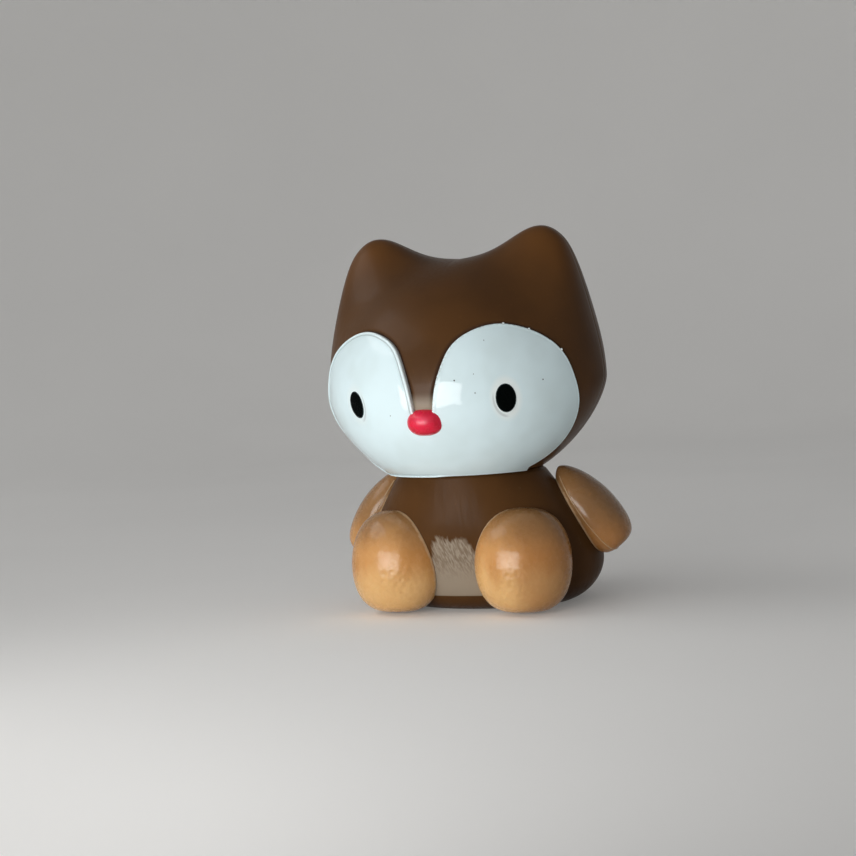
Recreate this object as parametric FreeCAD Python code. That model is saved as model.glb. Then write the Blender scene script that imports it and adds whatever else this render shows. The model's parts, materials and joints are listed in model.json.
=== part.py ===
"""A small seated fox figurine: a big head that turns on a plug in the neck of a bell-shaped body.

The origin is the middle of the flat base, Z points up and the fox looks along -Y, so its left side is +X.
All lengths are in millimetres and all angles in degrees.
"""

import FreeCAD
import Part
import math
import os

Vector = FreeCAD.Vector

# Fits between pieces
glue_gap = 0.03
running_clearance = 0.08
neck_gap = 0.15
overrun = 1.0

# Neck seam: the head's pieces take their heights from it
neck_height = 18.6
neck_half_width = 10.0
neck_half_depth = 8.9

# Head
head_half_width = 19.45
face_half_depth = 16.2
nape_half_depth = 14.7
head_widest_rise = 11.9
head_lead = 3.6
head_rise = 16.4
head_drop = 14.6
head_wall = 2.2
head_floor = 1.6
crown_roundness_share = 1.0
jaw_roundness_share = 1.36
face_roundness_share = 1.22
nape_roundness_share = 1.09
back_lift_share = 0.08

# Ears
ear_spread = 14.6
ear_rise = 7.9
ear_inner_spread = 7.8
ear_outer_spread = 4.1
ear_half_thickness = 5.2
ear_side_power_share = 2.2
ear_face_power_share = 2.4
ear_fade_power_share = 14.0

# Steps of the lofted head: turns from the middle plane, and points around each section
head_section_turns = (0, 12, 22, 31, 39, 46, 53, 60, 68, 77, 86)
head_section_points = 14
crown_crowding_share = 0.4

# Face mask
mask_raise = 0.35
mask_recess = 0.5
mask_origin_setback = 9.4
mask_origin_rise = 12.4
mask_plane_lead = 19.6
mask_reach = 34.0
mask_bottom_drop = 10.4
mask_top_rise = 21.9
mask_rim_gap = 0.05
mask_half_outline_shares = (
    (0.041, 0.570),
    (0.056, 0.672),
    (0.088, 0.780),
    (0.138, 0.879),
    (0.221, 0.947),
    (0.365, 1.000),
    (0.500, 0.997),
    (0.670, 0.950),
    (0.826, 0.845),
    (0.935, 0.659),
    (0.994, 0.480),
    (0.985, 0.280),
    (0.880, 0.110),
    (0.706, 0.022),
    (0.574, 0.000),
)

# Eyes and nose
eye_spread = 10.3
eye_rise = 9.9
eye_half_width = 1.15
eye_half_height = 1.85
eye_turn = 32.0
eye_tilt = 4.0
eye_raise = 0.12
nose_rise = 7.15
nose_half_width = 2.45
nose_half_height = 1.75
nose_half_depth = 1.9
nose_sink = 0.6
nose_peg_radius = 0.7
nose_peg_length = 2.6

# Neck plug, which the head turns on
plug_radius = 2.6
plug_flange_radius = 4.2
plug_flange_thickness = 1.2
plug_pocket_clearance = 0.4

# Body: each level is shares of the neck's height, the body's half-width and half-depth, and the head's lead
body_wall = 1.6
body_half_width = 16.4
body_half_depth = 12.6
body_level_shares = (
    (0.0, 0.72, 0.65, -0.22),
    (0.027, 0.79, 0.76, -0.22),
    (0.102, 0.90, 0.905, -0.22),
    (0.28, 1.0, 1.0, -0.17),
    (0.505, 0.957, 0.97, 0.22),
    (0.731, 0.811, 0.86, 0.64),
)

# Base plate, and the ledge inside the body that it seats on
base_plate_thickness = 1.4
base_plate_margin = 1.3
base_ledge = 1.0

# Feet
foot_spread = 8.95
foot_lead = 10.2
foot_half_width = 6.4
foot_half_depth = 5.6
foot_half_height = 6.8
foot_centre_height = 7.0
foot_splay = 14.0
foot_lean = 6.0
foot_swell_share = 1.0
foot_sole_roundness_share = 0.64
foot_top_roundness_share = 0.7
foot_taper_share = -0.03

# Arms
arm_shoulder_spread = 11.5
arm_shoulder_lead = 0.8
arm_shoulder_drop = 0.3
arm_hand_spread = 18.9
arm_hand_lead = -1.6
arm_hand_height = 7.4
arm_half_thickness = 3.15
arm_half_breadth = 4.4
arm_swell_share = 1.3
arm_shoulder_roundness_share = 0.9
arm_hand_roundness_share = 0.48
arm_taper_share = 0.06

# Tail
tail_setback = 10.8
tail_centre_height = 8.4
tail_half_width = 4.8
tail_half_depth = 4.4
tail_half_height = 7.7
tail_lean = -17.0
tail_swell_share = 0.8
tail_root_roundness_share = 0.7
tail_tip_roundness_share = 0.95
tail_taper_share = -0.05

# Locating pegs of the glued-on pieces
peg_radius = 1.5
peg_reach = 3.4

# Steps of the lofted limbs
limb_section_turns = (-88, -76, -60, -40, -20, 0, 20, 40, 60, 76, 88)
oval_half_points = 6
ball_seam_turn = 35.0


def ear_bump(side, depth, growth):
    """How far an ear lifts the crown at a place beside and behind the middle of the head."""
    spread = ear_inner_spread if abs(side) < ear_spread else ear_outer_spread
    across = abs((abs(side) - ear_spread) / (spread + growth)) ** ear_side_power_share
    along = abs(depth / (ear_half_thickness + growth)) ** ear_face_power_share
    fade = 1 - abs(side / (head_half_width + growth)) ** ear_fade_power_share
    return ear_rise * math.exp(-across) * math.exp(-along) * fade


def head_half_section(turn, growth, facing, past_seam):
    """Half of a section of the head across X, closed by straight lines at the seam over the ears."""
    narrowing = math.cos(math.radians(turn))
    side = (head_half_width + growth) * math.sin(math.radians(turn))
    half_depth = (nape_half_depth + growth) * narrowing**nape_roundness_share
    if facing < 0:
        half_depth = (face_half_depth + growth) * narrowing**face_roundness_share
    rise = (head_rise + growth) * narrowing**crown_roundness_share
    drop = (head_drop + growth) * narrowing**jaw_roundness_share
    points = []
    for step in range(head_section_points + 1):
        even = math.pi * (step / head_section_points - 1 / 2)
        climb = even + crown_crowding_share * math.cos(even)
        depth = facing * half_depth * math.cos(climb)
        lift = math.sin(climb)
        if lift > 0:
            height = rise * lift + ear_bump(side, depth, growth) * lift * (2 - lift)
        else:
            height = drop * lift
        height += neck_height + head_widest_rise + back_lift_share * depth
        points.append(Vector(side, depth - head_lead, height))
    curve = Part.BSplineCurve()
    knots = [step / head_section_points for step in range(head_section_points + 1)]
    outward = Vector(0, facing * half_depth, back_lift_share * facing * half_depth) * math.pi
    leaving = outward * (1 + crown_crowding_share)
    arriving = outward * (crown_crowding_share - 1)
    curve.interpolate(
        Points=points, Parameters=knots, InitialTangent=leaving, FinalTangent=arriving, Scale=False
    )
    corners = [points[-1], points[0]]
    if past_seam:
        step_back = Vector(0, -facing * past_seam, 0)
        corners = [points[-1], points[-1] + step_back, points[0] + step_back, points[0]]
    lines = [Part.makeLine(first, second) for first, second in zip(corners, corners[1:])]
    return Part.Wire([curve.toShape()] + lines)


def head_half(growth, facing, past_seam):
    """The face half or the back half of the head and ears, grown all round by a length."""
    turns = [-turn for turn in reversed(head_section_turns[1:])] + list(head_section_turns)
    sections = [head_half_section(turn, growth, facing, past_seam) for turn in turns]
    return Part.makeLoft(sections, True, False)


def head_cavity():
    """The egg-smooth hollow inside the head, at least a wall's thickness from its skin."""
    half_height = (head_rise + head_drop) / 2 - head_wall
    half_depth = (face_half_depth + nape_half_depth) / 2 - head_wall
    cavity = oval_solid(head_half_width - head_wall, half_depth, half_height)
    setback = (nape_half_depth - face_half_depth) / 2 - head_lead
    cavity.translate(Vector(0, setback, neck_height + head_widest_rise + (head_rise - head_drop) / 2))
    return cavity


def slab(low, high, front, back):
    """A wide block between two heights and two depths, used for flat cuts."""
    reach = head_half_width + head_rise
    return Part.makeBox(2 * reach, back - front, high - low, Vector(-reach, front, low))


def oval(centre, first, second):
    """A closed oval about a centre, through the ends of two half-lengths, as two smooth halves."""
    halves = []
    for side in (1, -1):
        points = []
        for step in range(oval_half_points + 1):
            around = math.pi * step / oval_half_points
            points.append(centre + (first * math.cos(around) + second * math.sin(around)) * side)
        knots = [step / oval_half_points for step in range(oval_half_points + 1)]
        leaving = second * (side * math.pi)
        curve = Part.BSplineCurve()
        curve.interpolate(
            Points=points, Parameters=knots, InitialTangent=leaving, FinalTangent=leaving * -1, Scale=False
        )
        halves.append(curve.toShape())
    return Part.Wire(halves)


def smooth_solid(sections):
    """A closed smooth solid through its sections, turned the right way out."""
    solid = Part.makeLoft(sections, True, False)
    if solid.Volume < 0:
        solid.reverse()
    return solid


def body_levels():
    """Height, half-width, half-depth and lead of each level of the body, from the base to the neck."""
    levels = []
    for height_share, width_share, depth_share, lead_share in body_level_shares:
        half_width = body_half_width * width_share
        half_depth = body_half_depth * depth_share
        levels.append((neck_height * height_share, half_width, half_depth, head_lead * lead_share))
    levels.append((neck_height, neck_half_width, neck_half_depth, head_lead))
    return levels


def body_section(level, growth):
    """A horizontal oval of the body at one of its levels."""
    height, half_width, half_depth, lead = level
    centre = Vector(0, -lead, height)
    return oval(centre, Vector(half_width + growth, 0, 0), Vector(0, half_depth + growth, 0))


def body_form(growth):
    """The closed bell shape of the body, grown sideways."""
    return smooth_solid([body_section(level, growth) for level in body_levels()])


def mask_cutter(growth):
    """A cone from a point inside the head through the mask's outline, which grows by a length."""
    bottom = neck_height - mask_bottom_drop
    height = mask_top_rise + mask_bottom_drop
    plane = -(head_lead + mask_plane_lead)
    outline = []
    for side_share, height_share in mask_half_outline_shares:
        outline.append(Vector(side_share * mask_reach, plane, bottom + height_share * height))
    half = []
    for before, place, after in zip(outline[:1] + outline, outline, outline[1:] + outline[-1:]):
        along = (after - before).normalize()
        half.append(place + Vector(-along.z, 0, along.x) * growth)
    mirrored = [Vector(-point.x, point.y, point.z) for point in half]
    edges = []
    for points in (half, mirrored):
        curve = Part.BSplineCurve()
        curve.interpolate(Points=points)
        edges.append(curve.toShape())
    edges.append(Part.makeLine(half[0], mirrored[0]))
    edges.append(Part.makeLine(half[-1], mirrored[-1]))
    outline = Part.Wire(Part.__sortEdges__(edges))
    origin = Part.Vertex(Vector(0, mask_origin_setback - head_lead, neck_height + mask_origin_rise))
    return Part.makeLoft([origin, outline], True, True)


def head_surface_depth(side, height):
    """Where the face lies in depth below its widest level, at a place on the mask."""
    narrowing = math.sqrt(1 - (side / head_half_width) ** 2)
    half_depth = face_half_depth * narrowing**face_roundness_share
    drop = head_drop * narrowing**jaw_roundness_share
    depth = -half_depth
    for _ in range(head_section_points):
        lift = (neck_height + head_widest_rise + back_lift_share * depth - height) / drop
        depth = -half_depth * math.sqrt(1 - lift**2)
    return depth - head_lead


def eye_prism(side, growth):
    """An oval bar along the way that one eye looks."""
    reach = face_half_depth
    along = Vector(side * math.sin(math.radians(eye_turn)), -math.cos(math.radians(eye_turn)), 0)
    height = neck_height + eye_rise
    centre = Vector(side * eye_spread, head_surface_depth(eye_spread, height), height)
    start = centre - along * (reach / 2)
    upright = Vector(0, 0, 1)
    level = upright.cross(along)
    tilt = FreeCAD.Rotation(along, side * eye_tilt)
    tall = tilt.multVec(upright) * (eye_half_height + growth)
    wide = tilt.multVec(level) * (eye_half_width + growth)
    oval = Part.Ellipse(start + tall, start + wide, start).toShape()
    return Part.Face(Part.Wire([oval])).extrude(along * reach)


def oval_solid(half_width, half_depth, half_height):
    """A closed egg-smooth ellipsoid about the origin."""
    stretch = FreeCAD.Matrix()
    stretch.scale(half_width, half_depth, half_height)
    ball = Part.makeSphere(1)
    ball.rotate(Vector(0, 0, 0), Vector(0, 0, 1), ball_seam_turn)
    return ball.transformGeometry(stretch)


def limb(start, end, half_thickness, half_breadth, outward, shape_shares):
    """A closed lobe of oval sections between two points, with its thickness along the outward way."""
    swell_share, start_roundness_share, end_roundness_share, taper_share = shape_shares
    spine = end - start
    length = spine.Length
    along = Vector(spine).normalize()
    broad = along.cross(outward).normalize()
    thick = broad.cross(along).normalize()
    sections = []
    for turn in limb_section_turns:
        share = ((1 + math.sin(math.radians(turn))) / 2) ** (1 / swell_share)
        roundness_share = start_roundness_share if turn < 0 else end_roundness_share
        fullness = math.cos(math.radians(turn)) ** roundness_share
        fullness *= 1 + taper_share * (2 * share - 1)
        centre = start + along * (length * share)
        sections.append(oval(centre, broad * (half_breadth * fullness), thick * (half_thickness * fullness)))
    return smooth_solid(sections)


def peg(place, inward, radius, start_reach, end_reach):
    """A round bar about a place, from a reach outside it to a reach inside it."""
    start = place - inward * start_reach
    return Part.makeCylinder(radius, start_reach + end_reach, start, inward)


def seated(piece, place, inward, body_seat):
    """A glued-on piece trimmed to the body's surface, with a peg that locates it there."""
    trimmed = piece.cut(body_seat)
    return trimmed.fuse(peg(place, inward, peg_radius, peg_reach / 2, peg_reach)).removeSplitter()


def mirrored(shape):
    """The same shape on the other side of the fox."""
    return shape.mirror(Vector(0, 0, 0), Vector(1, 0, 0))


def build_head():
    """The two halves of the head shell, the mask, the eyes and the nose."""
    floor = neck_height + neck_gap
    tall = neck_height + head_widest_rise + head_rise + ear_rise + overrun
    far = face_half_depth * 2 + head_lead
    above = slab(floor, tall, -far, far)
    hollow = head_cavity().common(slab(floor + head_floor, tall, -far, far))
    neck_place = Vector(0, -head_lead, floor)
    neck_hole = peg(neck_place, Vector(0, 0, 1), plug_radius + running_clearance, overrun, floor)
    pocket_radius = plug_flange_radius + plug_pocket_clearance
    pocket_height = plug_flange_thickness + plug_pocket_clearance
    pocket = Part.makeCylinder(pocket_radius, pocket_height, neck_place + Vector(0, 0, head_floor))
    hollow = hollow.fuse(neck_hole).fuse(pocket)
    shells = []
    for facing in (-1, 1):
        shells.append(head_half(0, facing, 0).common(above).cut(hollow))
    front, back = shells

    cone = mask_cutter(0)
    pocket_floor = head_half(-mask_recess, -1, overrun)
    seat = head_half(glue_gap - mask_recess, -1, overrun)
    nose_height = neck_height + nose_rise
    nose_place = Vector(0, head_surface_depth(0, nose_height), nose_height)
    inward = Vector(0, 1, 0)
    bead_place = nose_place + inward * nose_sink
    bead_sizes = (nose_half_width, nose_half_depth, nose_half_height)
    bead_pocket = oval_solid(*[size + glue_gap for size in bead_sizes])
    bead_pocket.translate(bead_place)
    socket = peg(nose_place, inward, nose_peg_radius + glue_gap, nose_peg_length, nose_peg_length)
    recess = mask_cutter(mask_rim_gap).cut(pocket_floor)
    front = front.cut(recess).cut(bead_pocket.cut(pocket_floor)).cut(socket)

    plate = cone.common(head_half(mask_raise, -1, overrun)).cut(seat).common(above).cut(bead_pocket)
    raised = head_half(mask_raise + eye_raise, -1, overrun).cut(seat)
    eyes = {}
    for name, side in (("left_eye", 1), ("right_eye", -1)):
        plate = plate.cut(eye_prism(side, glue_gap))
        eyes[name] = eye_prism(side, 0).common(raised)
    bead = oval_solid(*bead_sizes)
    bead.translate(bead_place)
    nose = bead.cut(seat).fuse(peg(nose_place, inward, nose_peg_radius, 0, nose_peg_length))
    return {"head_front_shell": front, "head_back_shell": back, "face_mask": plate, "nose": nose, **eyes}


def build_neck_plug():
    """The plug that is fixed in the neck and holds the head by its upper flange."""
    axis = Vector(0, -head_lead, 0)
    shelf = neck_height - body_wall - glue_gap
    lower = Part.makeCylinder(plug_flange_radius, plug_flange_thickness, axis + Vector(0, 0, shelf))
    lower.translate(Vector(0, 0, -plug_flange_thickness))
    bottom = shelf - plug_flange_thickness
    top = neck_height + neck_gap + head_floor + neck_gap
    shaft = Part.makeCylinder(plug_radius, top - bottom, axis + Vector(0, 0, bottom))
    upper = Part.makeCylinder(plug_flange_radius, plug_flange_thickness, axis + Vector(0, 0, top))
    plug = shaft.fuse(lower).fuse(upper).removeSplitter()
    return plug


def build_body():
    """The body shell, its base plate, and the feet, arms and tail that are glued on to it."""
    outer = body_form(0)
    seat = body_form(glue_gap)
    floor = base_plate_thickness + base_ledge
    hollow_span = slab(floor, neck_height - body_wall, -head_half_width, head_half_width)
    hollow = body_form(-body_wall).common(hollow_span)
    base = body_levels()[0]
    recess = Part.Face(body_section(base, -base_plate_margin)).extrude(Vector(0, 0, base_plate_thickness))
    window = Part.Face(body_section(base, -base_plate_margin - base_ledge)).extrude(Vector(0, 0, floor))
    plate_outline = Part.Face(body_section(base, -base_plate_margin - glue_gap))
    plate = plate_outline.extrude(Vector(0, 0, base_plate_thickness - glue_gap))
    plug_hole = Part.makeCylinder(plug_radius + glue_gap, neck_height, Vector(0, -head_lead, neck_height / 2))
    shell = outer.cut(hollow).cut(recess).cut(window).cut(plug_hole)

    foot_place = Vector(foot_spread, -foot_lead, foot_centre_height)
    lean = foot_half_height * math.sin(math.radians(foot_lean))
    low = foot_place + Vector(0, -lean, -foot_half_height)
    high = foot_place + Vector(0, lean, foot_half_height)
    foot_way = Vector(math.sin(math.radians(foot_splay)), -math.cos(math.radians(foot_splay)), 0)
    foot_shares = (foot_swell_share, foot_sole_roundness_share, foot_top_roundness_share, foot_taper_share)
    foot = limb(low, high, foot_half_depth, foot_half_width, foot_way, foot_shares)
    left_foot = seated(foot, foot_place, foot_way * -1, seat)

    shoulder = Vector(arm_shoulder_spread, -arm_shoulder_lead, neck_height - arm_shoulder_drop)
    hand = Vector(arm_hand_spread, -arm_hand_lead, arm_hand_height)
    arm_way = Vector(1, 0, 0)
    arm_shares = (arm_swell_share, arm_shoulder_roundness_share, arm_hand_roundness_share, arm_taper_share)
    arm = limb(shoulder, hand, arm_half_thickness, arm_half_breadth, arm_way, arm_shares)
    arm_place = (shoulder + hand) / 2
    left_arm = seated(arm, arm_place, arm_way * -1, seat)

    tail_place = Vector(0, tail_setback, tail_centre_height)
    lean = tail_half_height * math.sin(math.radians(tail_lean))
    low = tail_place + Vector(0, -lean, -tail_half_height)
    high = tail_place + Vector(0, lean, tail_half_height)
    tail_way = Vector(0, 1, 0)
    tail_shares = (tail_swell_share, tail_root_roundness_share, tail_tip_roundness_share, tail_taper_share)
    lobe = limb(low, high, tail_half_depth, tail_half_width, tail_way, tail_shares)
    tail = seated(lobe, tail_place, tail_way * -1, seat)

    sockets = []
    for place, inward in ((foot_place, foot_way * -1), (arm_place, arm_way * -1)):
        socket = peg(place, inward, peg_radius + glue_gap, peg_reach, peg_reach + glue_gap)
        sockets.extend([socket, mirrored(socket)])
    sockets.append(peg(tail_place, tail_way * -1, peg_radius + glue_gap, peg_reach, peg_reach + glue_gap))
    for socket in sockets:
        shell = shell.cut(socket)
    return {
        "body_shell": shell,
        "base_plate": plate,
        "left_foot": left_foot,
        "right_foot": mirrored(left_foot),
        "left_arm": left_arm,
        "right_arm": mirrored(left_arm),
        "tail": tail,
    }


def main():
    """Build every piece and write one file for each."""
    pieces = build_head()
    pieces["neck_plug"] = build_neck_plug()
    pieces.update(build_body())
    os.makedirs("parts", exist_ok=True)
    for name, shape in pieces.items():
        shape.exportStep(os.path.join("parts", name + ".step"))
        print(name, len(shape.Solids), shape.isValid(), round(shape.Volume, 1))


main()
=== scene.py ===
"""Looks of the seated fox figurine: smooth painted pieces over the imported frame, a pale studio and camera.

Everything is in metres in the frame's own axes: Z up, the fox looks along -Y, and its left side is +X.
Run it as a script. The sidebar panel lists the same steps for someone who opens it in Blender.
"""

import json
import math

import bmesh
import bpy
import numpy as np
from bpy.props import FloatProperty, FloatVectorProperty, PointerProperty
from mathutils import Matrix, Vector
from mathutils.geometry import delaunay_2d_cdt


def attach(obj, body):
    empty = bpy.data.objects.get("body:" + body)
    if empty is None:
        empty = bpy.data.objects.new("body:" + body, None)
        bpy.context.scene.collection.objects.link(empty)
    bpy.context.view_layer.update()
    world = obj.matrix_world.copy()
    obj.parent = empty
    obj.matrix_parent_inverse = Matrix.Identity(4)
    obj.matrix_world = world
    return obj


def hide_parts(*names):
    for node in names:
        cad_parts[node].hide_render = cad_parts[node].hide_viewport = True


bl_info = {
    "name": "Fox Figurine",
    "version": (1, 0, 0),
    "blender": (4, 5, 0),
    "location": "3D View > Sidebar > Fox",
    "description": "Builds the painted looks of a seated fox figurine over its packed frame",
    "category": "Object",
}

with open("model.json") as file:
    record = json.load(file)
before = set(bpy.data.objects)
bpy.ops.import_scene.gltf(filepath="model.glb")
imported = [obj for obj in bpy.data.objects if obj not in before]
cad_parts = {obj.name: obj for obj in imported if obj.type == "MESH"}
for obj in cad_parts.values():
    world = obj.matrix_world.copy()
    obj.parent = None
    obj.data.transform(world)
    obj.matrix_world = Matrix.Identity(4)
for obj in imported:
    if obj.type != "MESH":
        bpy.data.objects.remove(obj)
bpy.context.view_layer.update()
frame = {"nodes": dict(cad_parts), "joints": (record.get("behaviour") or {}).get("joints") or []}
NECK_PLACE = frame["joints"][0]["pos_m"]
MM = 0.001


def length(name, description, default):
    """A length property whose default is given in millimetres."""
    return FloatProperty(name=name, description=description, default=default * MM, unit="LENGTH", precision=5)


def share(name, description, default):
    """A plain ratio property."""
    return FloatProperty(name=name, description=description, default=default, precision=4)


def angle(name, description, default):
    """An angle property whose default is given in degrees."""
    return FloatProperty(name=name, description=description, default=math.radians(default), subtype="ANGLE")


def colour(name, description, default):
    """A colour property."""
    return FloatVectorProperty(
        name=name, description=description, default=default, subtype="COLOR", size=3, min=0.0, max=1.0
    )


def spot(name, description, default):
    """A place or size of several lengths, given in millimetres."""
    default = tuple(MM * number for number in default)
    return FloatVectorProperty(
        name=name, description=description, default=default, unit="LENGTH", size=len(default), precision=5
    )


def strength(name, description, default):
    """The power of a lamp in watts."""
    return FloatProperty(name=name, description=description, default=default, unit="POWER")


class HeadSizes(bpy.types.PropertyGroup):
    """Sizes of the head, its ears and the seam between its halves."""

    half_width: length("Half width", "Half of the head's width", 19.45)
    face_half_depth: length("Face depth", "Depth of the face half", 16.2)
    nape_half_depth: length("Nape depth", "Depth of the back half", 14.7)
    widest_height: length("Widest height", "Height where the head is widest", 30.5)
    rise: length("Rise", "Crown above the widest height", 16.4)
    drop: length("Drop", "Chin below the widest height", 14.6)
    crown_roundness: share("Crown roundness", "How the crown falls towards the sides", 1.0)
    jaw_roundness: share("Jaw roundness", "How the jaw narrows towards the sides", 1.36)
    face_roundness: share("Face roundness", "How the face falls back towards the sides", 1.22)
    nape_roundness: share("Nape roundness", "How the nape falls forward towards the sides", 1.09)
    back_lift: share("Back lift", "Rise of the widest level towards the back", 0.08)
    ear_spread: length("Ear spread", "Middle of the head to an ear's peak", 14.6)
    ear_rise: length("Ear rise", "Ear's peak above the crown", 7.9)
    ear_inner_spread: length("Ear inner spread", "Width of the ear's inner flank", 7.8)
    ear_outer_spread: length("Ear outer spread", "Width of the ear's outer flank", 4.1)
    ear_half_thickness: length("Ear half thickness", "Half of the ear's depth", 5.2)
    ear_side_power: share("Ear side power", "Fullness of the ear seen from the front", 2.2)
    ear_face_power: share("Ear face power", "Fullness of the ear seen from the side", 2.4)
    ear_fade_power: share("Ear fade power", "How late the ear ends at the head's side", 14.0)
    neck_gap: length("Neck gap", "Clearance between head and body", 0.15)
    seam_depth: length("Seam depth", "Depth of the painted-over seam between the halves", 0.05)
    seam_width: length("Seam width", "Half width of that seam", 0.22)
    # The grey over the nose, which the next four sizes set, is a painted reflection.
    reflection_top: length("Fade top", "Height below which the brown over the nose is worn", 31.4)
    reflection_reach: length("Fade reach", "Height over which that wear grows", 3.6)
    reflection_half_width: length("Fade half width", "Half width of that wear", 2.4)
    reflection_strength: share("Fade strength", "How worn the brown is above the nose", 0.72)


class MaskSizes(bpy.types.PropertyGroup):
    """Sizes of the raised face plate, the eyes and the nose."""

    origin_setback: length("Origin setback", "Point the outline is projected from, behind the neck axis", 9.4)
    origin_height: length("Origin height", "Height of that point", 31.0)
    plane_lead: length("Plane lead", "Plane of the outline, in front of the neck axis", 19.6)
    reach: length("Reach", "Half width of the outline on its plane", 34.0)
    bottom: length("Bottom", "Lower edge of the outline on its plane", 8.2)
    top: length("Top", "Upper edge of the outline on its plane", 40.5)
    plate_raise: length("Plate raise", "How far the plate stands over the head", 0.34)
    plate_sink: length("Plate sink", "How deep the plate goes into the head", 0.45)
    lip_raise: length("Lip raise", "Extra height of the rounded lip", 0.13)
    lip_width: length("Lip width", "Width of the rounded lip", 0.42)
    groove_width: length("Groove width", "Shadow groove in the head beside the plate", 0.42)
    groove_depth: length("Groove depth", "Depth of that groove", 0.2)
    eye_spread: length("Eye spread", "Middle of the face to an eye", 10.3)
    eye_height: length("Eye height", "Height of the eyes", 28.5)
    eye_half_width: length("Eye half width", "Half of an eye's width", 1.32)
    eye_half_height: length("Eye half height", "Half of an eye's height", 1.85)
    eye_turn: angle("Eye turn", "How far each eye looks outwards", 22.0)
    eye_tilt: angle("Left eye tilt", "How far the left eye leans outwards at its foot", 4.0)
    right_eye_tilt: angle("Right eye tilt", "How far the right eye leans outwards at its foot", -22.0)
    eye_raise: length("Eye raise", "Crown of the eye over the plate", 0.1)
    nose_height: length("Nose height", "Height of the nose", 26.0)
    nose_half_width: length("Nose half width", "Half of the nose's width", 2.45)
    nose_half_height: length("Nose half height", "Half of the nose's height", 1.75)
    nose_half_depth: length("Nose half depth", "Half of the nose's depth", 1.9)
    nose_sink: length("Nose sink", "How deep the nose's middle lies", 0.3)
    nub_size: length("Nub size", "Largest radius of a paint nub at the plate's edge", 0.2)
    speck_size: length("Speck size", "Largest radius of a dust speck", 0.12)


class BodySizes(bpy.types.PropertyGroup):
    """Sizes of the bell-shaped body."""

    half_width: length("Half width", "Largest half width", 16.4)
    half_depth: length("Half depth", "Largest half depth", 12.6)
    neck_half_width: length("Neck half width", "Half width at the neck", 10.0)
    neck_half_depth: length("Neck half depth", "Half depth at the neck", 8.9)
    neck_round: length("Neck round", "Rounded edge at the neck", 0.3)
    plate_margin: length("Plate margin", "Rim left round the base plate", 1.3)
    plate_thickness: length("Plate thickness", "Thickness of the base plate", 1.4)
    # The grey patch that the sizes below set is a painted reflection on the lower belly, streaked like
    # brushed varnish.
    patch_half_width: length("Patch half width", "Half width of the worn patch, carried on to the floor", 6.2)
    patch_narrowing: share("Patch narrowing", "How fast the worn patch narrows upwards", 0.32)
    patch_middle: length("Patch middle", "How far the worn patch lies to the left", 0.05)
    patch_side_fade: length("Patch side fade", "Fading at the sides of the worn patch", 1.2)
    patch_top: length("Patch top", "Top of the worn patch", 11.4)
    patch_top_fade: length("Patch top fade", "Fading at the top of the worn patch", 2.4)
    patch_bottom: length("Patch bottom", "Bottom of the worn patch", 2.2)
    patch_bottom_fade: length("Patch bottom fade", "Fading at the bottom of the worn patch", 0.3)


class LimbSizes(bpy.types.PropertyGroup):
    """Sizes of the feet, arms and tail."""

    foot_spread: length("Foot spread", "Middle plane to a foot", 8.95)
    foot_lead: length("Foot lead", "How far a foot's middle lies in front", 10.2)
    foot_half_width: length("Foot half width", "Half of a foot's width", 6.4)
    foot_half_depth: length("Foot half depth", "Half of a foot's depth", 5.6)
    foot_half_height: length("Foot half height", "Half of a foot's height", 6.8)
    foot_centre_height: length("Foot height", "Height of a foot's middle", 7.0)
    foot_splay: angle("Foot splay", "How far a foot points outwards", 14.0)
    crackle_radius: length("Crackle radius", "Reach of the crackled lacquer on a foot", 2.3)
    foot_lean: angle("Foot lean", "How far a foot leans back", 6.0)
    foot_sole_roundness: share("Foot sole roundness", "How a foot narrows towards its sole", 0.64)
    foot_top_roundness: share("Foot top roundness", "How a foot narrows towards its top", 0.7)
    foot_taper: share("Foot taper", "Fullness towards a foot's top", -0.03)
    shoulder_spread: length("Shoulder spread", "Middle plane to a shoulder", 11.5)
    shoulder_lead: length("Shoulder lead", "How far a shoulder lies in front", 0.8)
    shoulder_height: length("Shoulder height", "Top of an arm", 18.3)
    hand_spread: length("Hand spread", "Middle plane to a hand", 18.9)
    hand_lead: length("Hand lead", "How far a hand lies in front", -1.6)
    hand_height: length("Hand height", "Bottom of an arm", 7.4)
    arm_half_thickness: length("Arm half thickness", "Half of an arm's thickness", 3.15)
    arm_half_breadth: length("Arm half breadth", "Half of an arm's breadth", 4.4)
    arm_swell: share("Arm swell", "How far down the arm is widest", 1.3)
    arm_shoulder_roundness: share("Arm shoulder roundness", "How an arm narrows towards its shoulder", 0.9)
    arm_hand_roundness: share("Arm hand roundness", "How an arm narrows towards its hand", 0.48)
    arm_taper: share("Arm taper", "Fullness towards an arm's hand", 0.06)
    tail_setback: length("Tail setback", "How far the tail's middle lies behind", 10.8)
    tail_centre_height: length("Tail height", "Height of the tail's middle", 8.4)
    tail_half_width: length("Tail half width", "Half of the tail's width", 4.8)
    tail_half_depth: length("Tail half depth", "Half of the tail's depth", 4.4)
    tail_half_height: length("Tail half height", "Half of the tail's length", 7.7)
    tail_lean: angle("Tail lean", "How far the tail leans to the body", -17.0)
    tail_swell: share("Tail swell", "How far up the tail is widest", 0.8)
    tail_root_roundness: share("Tail root roundness", "How the tail narrows towards its root", 0.7)
    tail_tip_roundness: share("Tail tip roundness", "How the tail narrows towards its tip", 0.95)
    tail_taper: share("Tail taper", "Fullness towards the tail's tip", -0.05)
    flash_radius: length("Flash radius", "Radius of the moulding line on the arms", 0.09)


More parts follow.
